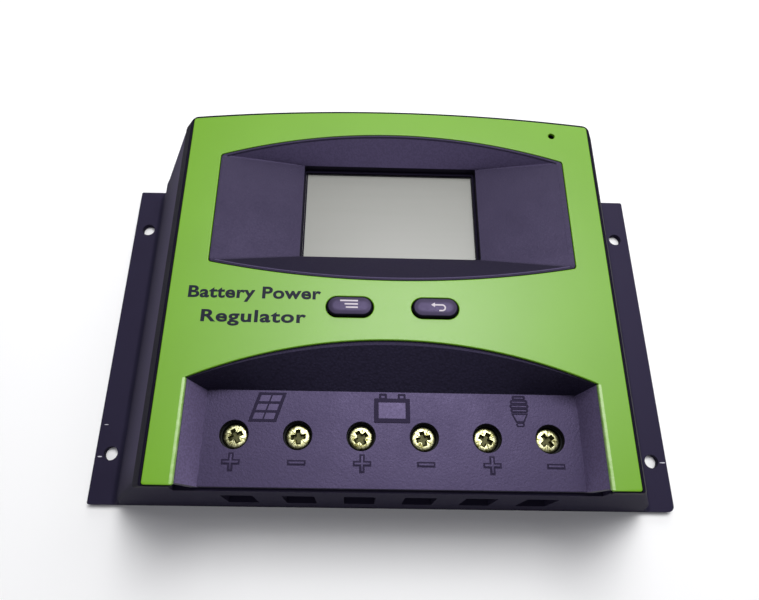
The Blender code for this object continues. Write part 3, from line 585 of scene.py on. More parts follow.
def moulded(name, colour, roughness, grain=0.35, depth=0.02, mottle=0.12, specular=0.5, tint=WHITE,
            speckle=0.0):
    """Moulded plastic with a spark-eroded grain, uneven gloss, a faint mottle and fine speckles."""
    finish = Finish(name, colour, roughness, specular=specular, tint=tint)
    patches = finish.noise(9.0, 5.0, 0.6)
    shade = finish.spread(patches)
    fine = finish.noise(grain, 3.0, 0.6)
    if speckle:
        shade = finish.math("ADD", shade, finish.spread(fine, -speckle / mottle, speckle / mottle))
    mixed = finish.between(shade, 0.0, 1.0, 0.5 - mottle / 2.0, 0.5 + mottle / 2.0)
    finish.vary(mixed, (0.0, 0.0, 0.0), scaled(colour, 2.0))
    uneven = finish.spread(fine, roughness - 0.05, roughness + 0.05)
    finish.link(finish.math("ADD", finish.spread(patches, -0.035, 0.035), uneven), "Roughness")
    finish.bump(fine, depth)
    return finish.material


def moulded_black(*settings, **more):
    """Moulded plastic whose gloss has the purple cast of the black parts."""
    return moulded(*settings, tint=PURPLE_SHEEN, **more)


def metal(name, colour, roughness, brushed=None):
    """Metal with drawn or turned lines, stretched as brushed says, and uneven gloss."""
    finish = Finish(name, colour, roughness, 1.0)
    lines = finish.noise(0.5, 5.0, 0.65, finish.stretched(brushed) if brushed else None)
    finish.vary(finish.spread(finish.noise(4.0, 4.0, 0.6)), scaled(colour, 0.84), scaled(colour, 1.08))
    finish.link(finish.between(lines, 0.25, 0.75, roughness - 0.09, roughness + 0.11), "Roughness")
    finish.bump(lines, 0.004)
    return finish.material


def painted_case():
    """Satin black paint over aluminium, with a few chips on the left flange and by the right hole."""
    finish = Finish("case_paint", CASE_COLOUR, 0.55, specular=0.30, tint=PURPLE_SHEEN)
    patches = finish.noise(14.0, 5.0, 0.6)
    paint = finish.blend(finish.spread(patches), scaled(CASE_COLOUR, 0.85), scaled(CASE_COLOUR, 1.15))
    chips = 0.0
    for x, y, length, width in CHIPS:
        chips = finish.math("MAXIMUM", chips, chip_mask(finish, x, y, length, width))
    finish.vary(chips, paint, CHIP_COLOUR)
    finish.gloss(patches, 0.50, 0.60)
    finish.bump(finish.noise(0.22, 3.0, 0.6), 0.008)
    return finish.material


def case_wall():
    """Dull black paint of the walls, lighter towards the rim of the long sides as painted light."""
    finish = Finish("case_wall", WALL_COLOUR, 0.75, specular=0.05)
    _, y, z = finish.split()
    height = finish.between(z, 8.0 * MM, RIM_Z * MM, 0.0, 1.0)
    behind = finish.between(y, at(0.0, 1.0, 0.0).y, at(0.0, 9.0, 0.0).y, 0.0, 1.0)
    # painted light: the long sides turn lighter towards the rim, the front wall does not
    finish.vary(finish.math("MULTIPLY", height, behind), WALL_COLOUR, PAINTED_LIGHT_WALL_COLOUR)
    fine = finish.noise(0.3, 4.0, 0.6)
    finish.gloss(fine, 0.68, 0.80)
    finish.bump(fine, 0.01)
    return finish.material


def chip_mask(finish, x, y, length, width):
    """1 inside a small ragged patch at (x, y) on top of the flanges, and 0 elsewhere."""
    places, centre = finish.split(), at(x, y, 0.0)
    reach = finish.spread(finish.noise(0.6, 3.0), -0.35, 0.35)
    for axis, size in enumerate((length, width)):
        offset = finish.math("SUBTRACT", places[axis], centre[axis])
        share = finish.math("DIVIDE", offset, size / 2.0 * MM)
        reach = finish.math("ADD", reach, finish.math("POWER", share, 2.0))
    low = finish.math("LESS_THAN", places[2], (FLANGE_TOP + 1.0) * MM)
    return finish.math("MULTIPLY", finish.math("LESS_THAN", reach, 1.0), low)


CASE_COLOUR = (0.0105, 0.0095, 0.021)
WALL_COLOUR = (0.017, 0.0135, 0.034)
# The next colour is painted light on the upper part of the long side walls.
PAINTED_LIGHT_WALL_COLOUR = (0.056, 0.045, 0.098)
COVER_COLOUR = (0.0165, 0.013, 0.03)
DARK_COLOUR = (0.01, 0.009, 0.019)
BASIN_COLOUR = (0.0085, 0.0072, 0.0165)
# The next two colours are painted light and painted shade on the top and bottom facets of the display recess.
BASIN_LIGHT_COLOUR = (0.044, 0.035, 0.074)
BASIN_SHADE_COLOUR = (0.006, 0.005, 0.012)
# The next colour is the darkest black: the cover's rim, the display's frame and border, and painted shade on
# the key sides and in the screw openings.
RIM_AND_SHADE_COLOUR = (0.005, 0.0042, 0.01)
# The next colour is painted light: a pale copy of the black plastic for the bay's side walls.
BAY_SIDE_LIGHT_COLOUR = (0.15, 0.12, 0.23)
SHADE_COLOUR = (0.012, 0.009, 0.022)
FIELD_COLOUR = (0.027, 0.021, 0.044)
KEY_COLOUR = (0.0165, 0.013, 0.025)
PURPLE_SHEEN = (0.66, 0.54, 1.0)  # tint of the gloss on the black parts
GREEN = (0.138, 0.332, 0.009)
CHIP_COLOUR = (0.55, 0.54, 0.6)
CHIPS = ((-92.9, 14.9, 1.4, 0.40), (-92.6, 25.4, 1.5, 0.22), (93.2, 15.6, 1.8, 0.32))  # x, y, length, width


def panel_edge_highlight():
    """The trimmed edge of the green panel, coloured pale green in uneven patches as a painted highlight."""
    finish = Finish("panel_edge", (0.32, 0.50, 0.17), 0.45)
    highlight_patches = finish.between(finish.noise(1.6, 4.0, 0.6), 0.35, 0.65, 0.0, 1.0)
    finish.vary(highlight_patches, (0.22, 0.42, 0.08), (0.36, 0.53, 0.21))
    finish.link(finish.between(highlight_patches, 0.0, 1.0, 0.32, 0.48), "Roughness")
    return finish.material


def leather_black():
    """Black moulding with a coarse leather-like grain."""
    finish = Finish("leather_black", DARK_COLOUR, 0.60, specular=0.45, tint=PURPLE_SHEEN)
    cells = finish.node("ShaderNodeTexVoronoi", feature="SMOOTH_F1", inputs={
        "Vector": finish.place, "Scale": 1.0 / (0.75 * MM), "Smoothness": 0.4}).outputs["Distance"]
    fine = finish.noise(0.30, 4.0, 0.7)
    grain = finish.math("ADD", finish.math("MULTIPLY", cells, -0.8), fine)
    shade = finish.between(grain, -0.4, 0.5, 0.0, 1.0)
    finish.vary(shade, scaled(DARK_COLOUR, 0.55), scaled(DARK_COLOUR, 1.6))
    finish.gloss(fine, 0.50, 0.70)
    finish.bump(grain, 0.12)
    return finish.material


def panel_green():
    """Semi-gloss lime green lacquer with faint orange peel and a little unevenness."""
    finish = Finish("panel_green", GREEN, 0.36, specular=0.45)
    patches = finish.noise(26.0, 4.0, 0.55)
    finish.vary(finish.spread(patches), scaled(GREEN, 0.97), scaled(GREEN, 1.03))
    fine = finish.noise(0.5, 3.0, 0.5)
    finish.gloss(fine, 0.33, 0.39)
    finish.bump(fine, 0.006)
    return finish.material


def display_glass():
    """The unlit display: a grey-green reflector behind a satin front film."""
    finish = Finish("display", (0.162, 0.164, 0.145), 0.40)
    streaks = finish.noise(2.0, 3.0, 0.5, finish.stretched((0.05, 1.0, 1.0)))
    finish.vary(streaks, (0.157, 0.160, 0.140), (0.168, 0.170, 0.151))
    finish.set("Coat Weight", 0.4)
    finish.set("Coat Roughness", 0.30)
    finish.gloss(finish.noise(0.15, 2.0), 0.34, 0.42)
    return finish.material


def screw_brass():
    """Yellow-passivated screw head: pale, mottled and a little scratched."""
    finish = Finish("screw_brass", (0.66, 0.64, 0.42), 0.34, 1.0)
    shade = finish.between(finish.noise(0.9, 4.0, 0.7), 0.38, 0.62, 0.0, 1.0)
    finish.vary(shade, (0.13, 0.12, 0.025), (0.74, 0.74, 0.44))
    fine = finish.noise(0.25, 3.0, 0.6)
    finish.gloss(fine, 0.26, 0.44)
    finish.bump(fine, 0.02)
    return finish.material


def screw_recess_shade():
    """A dark olive painted shade for the inside of the screws' recesses."""
    finish = Finish("screw_recess_shade", (0.060, 0.060, 0.018), 0.55, 0.6)
    patches = finish.noise(0.5, 3.0, 0.6)
    shade = finish.between(patches, 0.35, 0.65, 0.0, 1.0)
    finish.vary(shade, (0.030, 0.030, 0.008), (0.110, 0.108, 0.035))
    finish.gloss(patches, 0.45, 0.65)
    return finish.material


def clear_lamp():
    """Water-clear lamp body."""
    finish = Finish("lamp_body", (0.75, 0.80, 0.76), 0.08)
    finish.set("Transmission Weight", 0.85)
    finish.set("IOR", 1.5)
    finish.gloss(finish.noise(0.8, 2.0), 0.05, 0.12)
    return finish.material


def board_finish():
    """Solder mask over copper tracks that run along and across the board."""
    finish = Finish("board_mask", (0.015, 0.11, 0.045), 0.38)
    tracks = finish.node("ShaderNodeTexBrick", inputs={
        "Vector": finish.place, "Scale": 130.0, "Mortar Size": 0.09, "Mortar Smooth": 0.1,
        "Color1": (0.010, 0.085, 0.034, 1.0), "Color2": (0.012, 0.098, 0.040, 1.0),
        "Mortar": (0.030, 0.190, 0.075, 1.0)})
    finish.link(tracks.outputs["Color"], "Base Color")
    finish.gloss(finish.noise(1.5), 0.30, 0.46)
    finish.bump(tracks.outputs["Fac"], 0.03)
    return finish.material


def floor_finish():
    """Matt white table."""
    finish = Finish("table_white", (0.93, 0.93, 0.93), 0.85)
    finish.gloss(finish.noise(3.0), 0.80, 0.90)
    return finish.material


# ---- Case ----

def case_half(z):
    """Half width of the side walls at a height."""
    if z < KNEE_Z:
        return FOOT_HALF + (KNEE_HALF - FOOT_HALF) * z / KNEE_Z
    return KNEE_HALF + (RIM_HALF - KNEE_HALF) * (z - KNEE_Z) / (RIM_Z - KNEE_Z)


def case_ring(z, inset=0.0, side_inset=0.0, flare=0.0):
    """Outline of the case at a height, drawn in for the inside or flared at the foot."""
    lean = z / RIM_Z
    front = FRONT_LEAN * lean + inset
    back = FLANGE_DEPTH - BACK_LEAN * lean - inset
    half = case_half(z) - side_inset + flare
    return body_outline(half, front, back, CASE_CORNER, CASE_BACK_CORNER)


def flange(side):
    """One fixing flange, on side -1 or +1, with its outer corners and edges rounded."""
    inner, outer = FOOT_HALF - 3.0, FLANGE_HALF
    points = [(inner, 0.0), (outer, 0.0), (outer, FLANGE_DEPTH), (inner, FLANGE_DEPTH)]
    front_corner = FLANGE_CORNER if side > 0 else FLANGE_CORNER / 3.0
    outline = rounded(points, {1: front_corner, 2: FLANGE_CORNER / 3.0})
    if side < 0:
        outline = mirrored(reversed(outline))
    holes = [turned("hole", side * HOLE_X, y, [(HOLE_RADIUS, -1.0), (HOLE_RADIUS, 4.0)]) for y in HOLE_Y]
    return cut(prism("flange", outline, 0.0, FLANGE_TOP), *holes)


def make_case(finish, wall):
    """The flanged case, replacing its CAD node; its walls are rougher than its flanges."""
    fillet = 2.4
    rings = [(case_ring(0.0), 0.0), (case_ring(0.4, flare=fillet), 0.4)]
    for c, s in quarter(8):
        z = FLANGE_TOP + fillet * (1.0 - c)
        rings.append((case_ring(z, flare=fillet * (1.0 - s)), z))
    knee = 3.0  # the bend between the foot and the slope is eased over this height
    for step in range(7):
        z = KNEE_Z - knee + 2.0 * knee * step / 6.0
        pull = 0.18 * math.sin(math.pi * step / 6.0) ** 2
        rings.append((case_ring(z, side_inset=-pull), z))
    rings.append((case_ring(RIM_Z), RIM_Z))
    shell = loft("case", rings)
    join(shell, flange(-1), flange(1))
    inner = [(case_ring(z, WALL, SIDE_WALL), z) for z in (-1.0, KNEE_Z, RIM_Z + 5.0)]
    notch = BAY_HALF + BAY_SHELL + 0.5
    through = (-2.0, 8.0)  # from in front of the front wall to behind it
    floor = BAY_FLOOR_Z - BAY_FLOOR_THICKNESS - 0.5
    cut(shell, loft("inside", inner), prism("notch", rectangle(-notch, notch, *through), floor, RIM_Z + 2.0))
    slots = []
    for x in TERMINAL_X.values():
        opening = rectangle(x - SLOT_HALF, x + SLOT_HALF, *SLOT_Z, 0.8)
        slots.append(skin("slot", [[(a, y, z) for a, z in opening] for y in through]))
    cut(shell, *slots)
    place(tidy(shell), finish, "case_black", "lower_case", smooth=28.0)
    face_finish(shell, wall, lambda centre, normal: abs(normal.z) < 0.6)


# ---- Cover and panel ----

def panel_outline(grow=0.0):
    """Plan of the green panel with its bay notch."""
    half = PANEL_HALF + grow
    front, inner = PANEL_FRONT - grow, BAY_HALF - grow
    bay = mirrored(arc(inner, BAY_BACK - grow, BAY_RISE))
    back = arc(half, PANEL_BACK + grow, BACK_RISE, margin=3.0)
    points = [(-half, front), (-inner, front)] + bay + [(inner, front), (half, front)] + back
    last = len(points) - 1
    first_back = len(points) - len(back)
    radii = {0: 0.7, first_back - 1: 0.7, first_back: 1.0, last: 1.0}
    return moved(rounded(points, radii), FACE_SHIFT)


def make_panel(finish):
    """The green face panel with its openings and softened edges."""
    holes = [display_outline(), circle(LAMP_X, LAMP_Y, LAMP_HOLE_RADIUS, 32)]
    holes += [key_outline(node, KEY_GAP) for node in KEYS.values()]
    panel = plate("panel", [panel_outline()] + holes, FACE_Z - PANEL_THICKNESS, FACE_Z, 0.28)
    place(panel, finish, "face_green", "face_panel", smooth=35.0)


def make_panel_edges(finish):
    """The trimmed edges of the panel along both sides of the bay, paler with a painted highlight."""
    for side in (-1.0, 1.0):
        section = [(BAY_HALF - 0.25, FACE_Z - 0.95), (BAY_HALF + 0.7, FACE_Z - 0.95),
                   (BAY_HALF + 0.7, FACE_Z + 0.03), (BAY_HALF + 0.05, FACE_Z + 0.02),
                   (BAY_HALF - 0.2, FACE_Z - 0.25)]
        steps, start = 24, PANEL_FRONT + 0.3
        length = BAY_BACK - 0.2 - start
        runs = [([(FACE_SHIFT + side * x, start + length * i / steps) for i in range(steps + 1)], z)
                for x, z in section]
        name = "panel_edge_left" if side < 0.0 else "panel_edge_right"
        edge = loft(name, runs, stacked=False, looped=False)
        place(edge, finish, "face_green", smooth=50.0)


def cover_shell():
    """The outer body of the cover: a chamfered rim with softened edges over a short skirt."""
    slope = COVER_LOW_HALF - COVER_TOP_HALF
    profile = rounded([(0.5, COVER_BOTTOM_Z), (0.0, COVER_BOTTOM_Z), (0.0, COVER_BOTTOM_Z + 0.5),
                       (slope, COVER_RIM_Z), (3.9, COVER_RIM_Z)], {1: 0.2, 2: 0.3, 3: 0.55}, 5)
    rings = []
    for inset, z in profile:
        level = z < COVER_BOTTOM_Z + 0.3
        back = COVER_BACK - inset * (1.0 if level else 0.18)
        front = COVER_FRONT + (inset if level else 0.02 * inset + max(0.0, 0.3 * (inset - 2.4)))
        outline = body_outline(COVER_LOW_HALF - inset, front, back, 0.8, 3.4 - 0.55 * inset)
        shift = 0.0 if level else FACE_SHIFT * min(1.0, inset / slope)
        rings.append((moved(outline, shift), z))
    return loft("cover", rings)


def quarter(steps=6):
    """Cosine and sine at even steps through a right angle."""
    angles = [math.pi / 2.0 * i / steps for i in range(steps + 1)]
    return [(math.cos(a), math.sin(a)) for a in angles]


def recess_ring(z, grow=0.0):
    """Section of the display recess at a height."""
    t = (z - WINDOW_Z) / (FACE_Z - WINDOW_Z)
    return blended(window_outline(grow), display_outline(grow - SEAM - LIP), max(0.0, t))


def make_display_basin(finish, upper, lower):
    """The display recess: four facets from a lip at the face down to the straight window, with painted light
    on the top facet and painted shade on the bottom facet and round the window.
    """
    base, top = FACE_Z - 1.8, FACE_Z - 0.04
    outer, inner, sill = 0.15, 0.22, 0.25
    rings = [(display_outline(-SEAM), base)]
    for c, s in quarter(4):
        rings.append((display_outline(-SEAM - outer * (1.0 - c)), top - outer * (1.0 - s)))
    for s, c in quarter():
        z = top - inner * (1.0 - c)
        rings.append((recess_ring(z, inner * (1.0 - s)), z))
    for c, s in reversed(quarter(4)):
        rings.append((recess_ring(WINDOW_Z, sill * (1.0 - c) * 0.5), WINDOW_Z - sill * (1.0 - s)))
    rings += [(window_outline(), SILL_Z), (window_outline(2.0), SILL_Z)]
    basin = loft("display_basin", rings, stacked=False)
    place(basin, finish, smooth=32.0)
    sill = WINDOW_Z * MM
    # painted shade: the bottom facet, which faces back, and the walls below the window's level get the darker
    # copy
    face_finish(basin, lower, lambda centre, normal: normal.y > 0.35 or centre.z < sill)
    # painted light: the top facet, which faces the front, gets the lighter copy
    face_finish(basin, upper, lambda centre, normal: normal.y < -0.35 and centre.z > sill)


def bay_run(z, grow=0.0):
    """The line that the bay's side and back walls follow at a height, from front right to front left."""
    t = (z - BAY_FLOOR_Z) / (FACE_Z - BAY_FLOOR_Z)
    ring = blended(bay_floor_outline(-40.0, grow), bay_outline(-40.0, grow), max(0.0, t))
    walls = [point for point in ring if point[1] > 0.0]
    right, left = walls[0], walls[-1]
    return [(right[0], BAY_LIP_Y)] + walls + [(left[0], BAY_LIP_Y)]


def make_bay(finish, back, side, painted_well_shade):
    """The terminal bay: leaning side and back walls round a floor with an opening for each screw."""
    top = FACE_Z - PANEL_THICKNESS - 0.02
    low = BAY_FLOOR_Z - BAY_FLOOR_THICKNESS
    runs = [(bay_run(z), z) for z in (low, BAY_FLOOR_Z, top)]
    runs += [(bay_run(z, BAY_SHELL), z) for z in (top, low)]
    walls = loft("bay_walls", runs, stacked=False, looped=False)
    place(walls, back, smooth=32.0)
    # painted light: the side walls get a pale copy of the black plastic, to look as bright as the floor
    face_finish(walls, side, lambda centre, normal: abs(normal.x) > 0.8)
    holes = [circle(x, SCREW_Y, ACCESS_RADIUS) for x in TERMINAL_X.values()]
    floor = plate("bay_floor", [bay_floor_outline(BAY_LIP_Y, 0.3)] + holes, low, BAY_FLOOR_Z, 0.14, 3)
    place(floor, finish, smooth=35.0)
    # painted shade: the walls of the screw openings and the floor's edges get the darkest black
    face_finish(floor, painted_well_shade, lambda centre, normal: normal.z < 0.3)


def key_place(node):
    """Where a key stands, in plan."""
    across, along, _ = span(node)
    return middle(across) + FACE_SHIFT, middle(along)


def key_outline(node, grow=0.0):
    """Plan of a key, or of its opening or its skirt."""
    return stadium(*key_place(node), KEY_LENGTH + 2.0 * grow, KEY_WIDTH + 2.0 * grow)


def make_cover(finish):
    """The moulded cover: its chamfered rim and the deck below the panel."""
    cover = cover_shell()
    deck = FACE_Z - PANEL_THICKNESS - 0.3
    pocket = prism("pocket", panel_outline(SEAM), deck, FACE_Z + 2.0)
    display = prism("display", display_outline(1.0), 40.0, 60.0)
    bay = prism("bay", bay_outline(-4.0, BAY_SHELL / 2.0), 40.0, deck + 0.1)
    mouth = prism("mouth", bay_outline(-4.0), deck - 1.0, 60.0)
    lamp = turned("lamp", LAMP_X, LAMP_Y, [(LAMP_HOLE_RADIUS, 40.0), (LAMP_HOLE_RADIUS, 50.0)], 32)
    keys = [prism("key", key_outline(node, KEY_GAP), 40.0, 50.0) for node in KEYS.values()]
    cut(cover, pocket, display, bay, mouth, lamp, *keys)
    place(tidy(cover), finish, "cover_black", "top_cover", smooth=32.0)


# ---- Keys, screws and marks ----

def make_key(prefix, node, finish, edges, ink):
    """One key: a crowned cap whose sides are darkened with painted shade, on its skirt and stem, with its
    symbol on top.
    """
    x, y = key_place(node)
    body = prefix + "_key"
    edge, crown, slope = 0.60, 0.20, 1.3
    top = KEY_TOP_Z - crown
    profile = [(0.0, SKIRT_Z[0] + 0.4)]
    profile += [(edge * (1.0 - c), top - edge * (1.0 - s)) for c, s in quarter()]
    for step in range(1, 7):
        profile.append((edge + slope * step / 6.0, top + crown * math.sin(math.radians(15.0 * step))))
    cap = loft(node + "_cap", [(key_outline(node, -inset), z) for inset, z in profile])
    skirt = prism("skirt", key_outline(node, SKIRT_REACH), *SKIRT_Z)
    stem = turned("stem", x, y, [(STEM_RADIUS, span(node)[2][0]), (STEM_RADIUS, SKIRT_Z[0] + 0.6)], 24)
    join(cap, skirt, stem)
    place(tidy(cap), finish, "key_black", node, body=body, smooth=40.0)
    # painted shade: the sides of the cap get the darkest black
    face_finish(cap, edges, lambda centre, normal: normal.z < 0.8)
    symbol = menu_symbol(x, y) if prefix == "menu" else return_symbol(x + 0.7, y - 0.25)
    place(symbol, ink, "diffuser_white", body=body, smooth=40.0)


def inlay(name, outline):
    """A thin flat stroke in the top of a key."""
    return plate(name, [outline], KEY_TOP_Z - 0.1, KEY_TOP_Z + 0.04, 0.03, 1)


def menu_symbol(x, y):
    """Three bars of unequal length, flush at the right."""
    bars = []
    for index, start in enumerate((-2.75, -1.45, -1.1)):
        level = y + 1.4 - 1.0 * index
        outline = rectangle(x + start, x + 2.3, level - 0.24, level + 0.24, 0.1)
        bars.append(inlay("menu_symbol", outline))
    return join(*bars)


def return_symbol(x, y):
    """A return arrow: a bar that turns back under itself, with a round-cornered head at the left."""
    radius, half = 0.85, 0.22
    tail_x, head_x = x + 0.2, x - 1.0
    angles = [math.pi * i / 16 for i in range(17)]
    outer, inner = ([(x + 1.1 + r * math.sin(a), y + r * math.cos(a)) for a in angles]
                    for r in (radius + half, radius - half))
    outline = [(head_x, y + radius + half)] + outer
    outline += [(tail_x, y - radius - half), (tail_x, y - radius + half)]
    outline += list(reversed(inner)) + [(head_x, y + radius - half)]
    tip = [(x - 2.0, y + radius), (head_x + 0.1, y + radius - 0.75), (head_x + 0.1, y + radius + 0.75)]
    return join(inlay("return_symbol", outline), inlay("head", rounded(tip, {0: 0.1, 1: 0.1, 2: 0.1})))


SCREW_TURNS = (28.0, 5.0, 33.0, 14.0, 62.0, 38.0)  # how each head happens to stand
HEAD_RADIUS = 3.45
PITCH = 0.7


def make_screw(index, finish, recess):
    """A terminal screw: a domed head with a cross recess and fine ticks, on a threaded shank."""
    node = f"terminal_screw_{index}"
    x, top, radius = TERMINAL_X[index], SCREW_TOP_Z, HEAD_RADIUS
    bottom = span(node)[2][0]
    head = [(2.0, top - 2.0), (radius - 0.15, top - 1.9), (radius, top - 1.7), (radius, top - 0.62),
            (radius - 0.08, top - 0.40), (radius - 0.26, top - 0.22), (radius - 0.55, top - 0.12),
            (radius - 1.1, top - 0.05), (0.8, top)]
    shank = [(1.3, bottom), (1.6, bottom + 0.4)]
    for turn in range(int((top - 2.4 - bottom) / PITCH)):
        level = bottom + 0.6 + PITCH * turn
        shank += [(1.62, level), (1.98, level + 0.3), (1.98, level + 0.4)]
    screw = turned(f"screw_{index}_brass", x, SCREW_Y, shank + head, 40)
    angle = SCREW_TURNS[index - 1]
    arms = [tapered_arm("arm", x, 2.15, 0.74, top - 1.6, angle + turn, 0.35) for turn in (0.0, 90.0)]
    ticks = [tapered_arm("tick", x, 2.9, 0.09, top - 0.30, angle + turn, 0.0) for turn in (45.0, 135.0)]
    cut(screw, *arms, *ticks)
    place(tidy(screw), finish, "brass", node, body=f"screw_{index}", smooth=30.0)
    axis = at(x, SCREW_Y, 0.0)

    def inside(centre, normal):
        sunk = (top - 1.7) * MM < centre.z < (top - 0.14) * MM
        return sunk and math.hypot(centre.x - axis.x, centre.y - axis.y) < 2.4 * MM

    # painted shade: the inside of the cross recess gets the dark olive finish
    face_finish(screw, recess, inside)


def tapered_arm(name, x, arm, half, floor, turn, taper):
    """A cutter for one arm of a recess, narrower at its floor and turned about the screw's axis."""
    c, s = math.cos(math.radians(turn)), math.sin(math.radians(turn))
    rings = []
    for z, factor in ((floor, 1.0 - taper), (SCREW_TOP_Z + 0.02, 1.0), (SCREW_TOP_Z + 1.0, 1.0)):
        outline = rectangle(-arm * factor, arm * factor, -half * factor, half * factor)
        rings.append(([(x + a * c - b * s, SCREW_Y + a * s + b * c) for a, b in outline], z))
    return loft(name, rings)


MARK_Y = 9.0
MARK_X = (-43.1, -25.3, -7.5, 9.95, 28.05, 45.5)
MARK_HALF, MARK_WIDTH = 2.1, 0.30


def cross_outline(x, y, half, width, plus):
    """Outline of a plus sign, or of a minus sign."""
    if not plus:
        return rectangle(x - half, x + half, y - width, y + width)
    arm = [(width, width), (width, half), (-width, half), (-width, width)]
    points = []
    for _ in range(4):
        points += arm
        arm = [(-b, a) for a, b in arm]
    return [(x + a, y + b) for a, b in points]


def raised(name, outlines, height, edge=0.05):
    """Thin moulded marks standing on the bay's floor, joined into one piece."""
    parts = [plate(name, outline, BAY_FLOOR_Z - 0.2, BAY_FLOOR_Z + height, edge, 2) for outline in outlines]
    return soften(join(*parts) if len(parts) > 1 else parts[0], 40.0)


def make_marks(finish, shade):
    """Plus and minus signs in front of the screws: raised strokes, each on a lower bed whose darker colour is
    painted shade round the stroke.
    """
    for index, x in enumerate(MARK_X, 1):
        plus = index % 2 == 1
        bed = cross_outline(x, MARK_Y, MARK_HALF + 0.42, MARK_WIDTH + 0.45, plus)
        stroke = cross_outline(x, MARK_Y, MARK_HALF, MARK_WIDTH, plus)
        place(raised(f"mark_{index}_bed", [[bed]], 0.04, 0.02), shade)
        place(raised(f"mark_{index}", [[stroke]], 0.26, 0.08), finish)


def slanted(points, x, y, lean):
    """Points moved to (x, y) and leant to the right as they rise."""
    return [(x + a + lean * b, y + b) for a, b in points]


def make_icons(finish, shade, field):
    """Solar panel, battery and lamp pictograms on the bay's floor."""
    x, y, width, height, lean = -39.3, 20.0, 7.8, 8.3, 0.30
    side, rim, bar, upright = 0.95, 0.75, 0.72, 0.42
    cell_w = (width - 2.0 * side - upright) / 2.0
    cell_h = (height - 2.0 * rim - 2.0 * bar) / 3.0
    cells = []
    for column in range(2):
        for row in range(3):
            left = side + column * (cell_w + upright)
            low = rim + row * (cell_h + bar)
            cells.append(slanted(rectangle(left, left + cell_w, low, low + cell_h), x, y, lean))
    outline = slanted(rectangle(0.0, width, 0.0, height), x, y, lean)
    place(raised("icon_solar", [[outline] + cells], 0.16), shade)
    for number, cell in enumerate(cells):
        place(raised(f"icon_solar_cell_{number}", [[cell]], 0.07, 0.02), field)

    x0, x1, y0, y1, edge = -4.3, 5.8, 20.2, 27.1, 1.25
    inner = rectangle(x0 + edge, x1 - edge, y0 + edge, y1 - edge * 0.9)
    ring = [rectangle(x0, x1, y0, y1, 0.3), inner]
    posts = []
    for post in (x0 + 1.4, x1 - 3.4):
        posts.append([rectangle(post, post + 2.2, y1 - 0.2, y1 + 1.4, 0.3),
                      rectangle(post + 0.6, post + 1.6, y1 + 0.15, y1 + 0.85)])
    place(raised("icon_battery", [ring] + posts, 0.16), shade)
    place(raised("icon_battery_field", [[inner]], 0.07, 0.02), field)
    place(make_bulb(36.7, 19.6), shade)


def make_bulb(x, y):
    """A compact lamp: a coiled top over a tapered collar and a small base."""
    coils = []
    for level, length in ((8.3, 3.8), (7.1, 5.0), (5.9, 5.4), (4.7, 5.0)):
        coils.append([stadium(x, y + level, length, 1.3, 10), stadium(x, y + level, length - 1.1, 0.36, 10)])
    collar = [[(x - 1.2, y + 1.3), (x + 1.2, y + 1.3), (x + 2.4, y + 3.9), (x - 2.4, y + 3.9)],
              [(x - 0.9, y + 1.7), (x + 0.9, y + 1.7), (x + 1.8, y + 3.5), (x - 1.8, y + 3.5)]]
    base = [stadium(x, y + 0.7, 2.4, 1.3, 10), stadium(x, y + 0.7, 1.6, 0.6, 10)]
    return raised("icon_lamp", coils + [collar, base], 0.16)


# ---- Printing ----

LABEL_LINES = (
    ("label_line_1", "Battery Power", 1.06, (-57.3, -19.9), (51.5, 56.3)),
    ("label_line_2", "Regulator", 1.10, (-53.0, -23.8), (44.3, 49.1)),
)
INK_HEIGHT, INK_DEPTH = 0.05, 0.03


def make_display_border(ink):
    """The black border printed round the part of the display glass that its frame leaves open."""
    x0, x1, y0, y1 = -26.85, 26.85, 70.15, 100.85
    top = span("lcd_glass")[2][1]
    sight = rectangle(x0 + 0.45, x1 - 0.15, y0 + 0.2, y1 - 0.2)
    border = plate("display_border", [rectangle(x0, x1, y0, y1), sight], top + 0.02, top + 0.12, 0.02, 1)
    place(border, ink, "chip_black")


def make_label(ink):
    """Two lines of plain printed lettering on the panel, each fitted to its width and height."""
    for name, words, spacing, (x0, x1), (y0, y1) in LABEL_LINES:
        curve = bpy.data.curves.new(name, "FONT")
        curve.body = words
        curve.size = 1.0
        curve.extrude = 0.01
        curve.offset = 0.030
        curve.space_character = spacing
        curve.resolution_u = 6
        data = curve_mesh(name, curve)
        xs = [v.co.x for v in data.vertices]
        ys = [v.co.y for v in data.vertices]
        across = (x1 - x0) / (max(xs) - min(xs))
        up = (y1 - y0) / (max(ys) - min(ys))
        for vertex in data.vertices:
            a, b, c = vertex.co
            z = FACE_Z + (INK_HEIGHT if c > 0.0 else -INK_DEPTH)
            vertex.co = at(x0 + (a - min(xs)) * across, y0 + (b - min(ys)) * up, z)
        place(welded(name, data), ink, "case_black")


# ---- Carried-over nodes ----

def refinish(finishes):
    """Gives each CAD node that still shows its procedural finish and a small bevel."""
    slots = {part["node"]: part["material_slot"] for part in frame["record"]["subparts"]}
    for name, node in frame["nodes"].items():
        if node.hide_render:
            continue
        node.data.materials.clear()
        node.data.materials.append(finishes[slots[name]])
        soften(node, 30.0, 0.10)


def make_floor(finish):
    """The pale table that the case lies on, a hair below it."""
    mesh = bmesh.new()
    mesh.faces.new([mesh.verts.new((x, y, -0.1 * MM)) for x, y in rectangle(-1.6, 1.6, -1.6, 1.6)])
    floor = new_object("floor", mesh)
    floor.data.materials.append(finish)


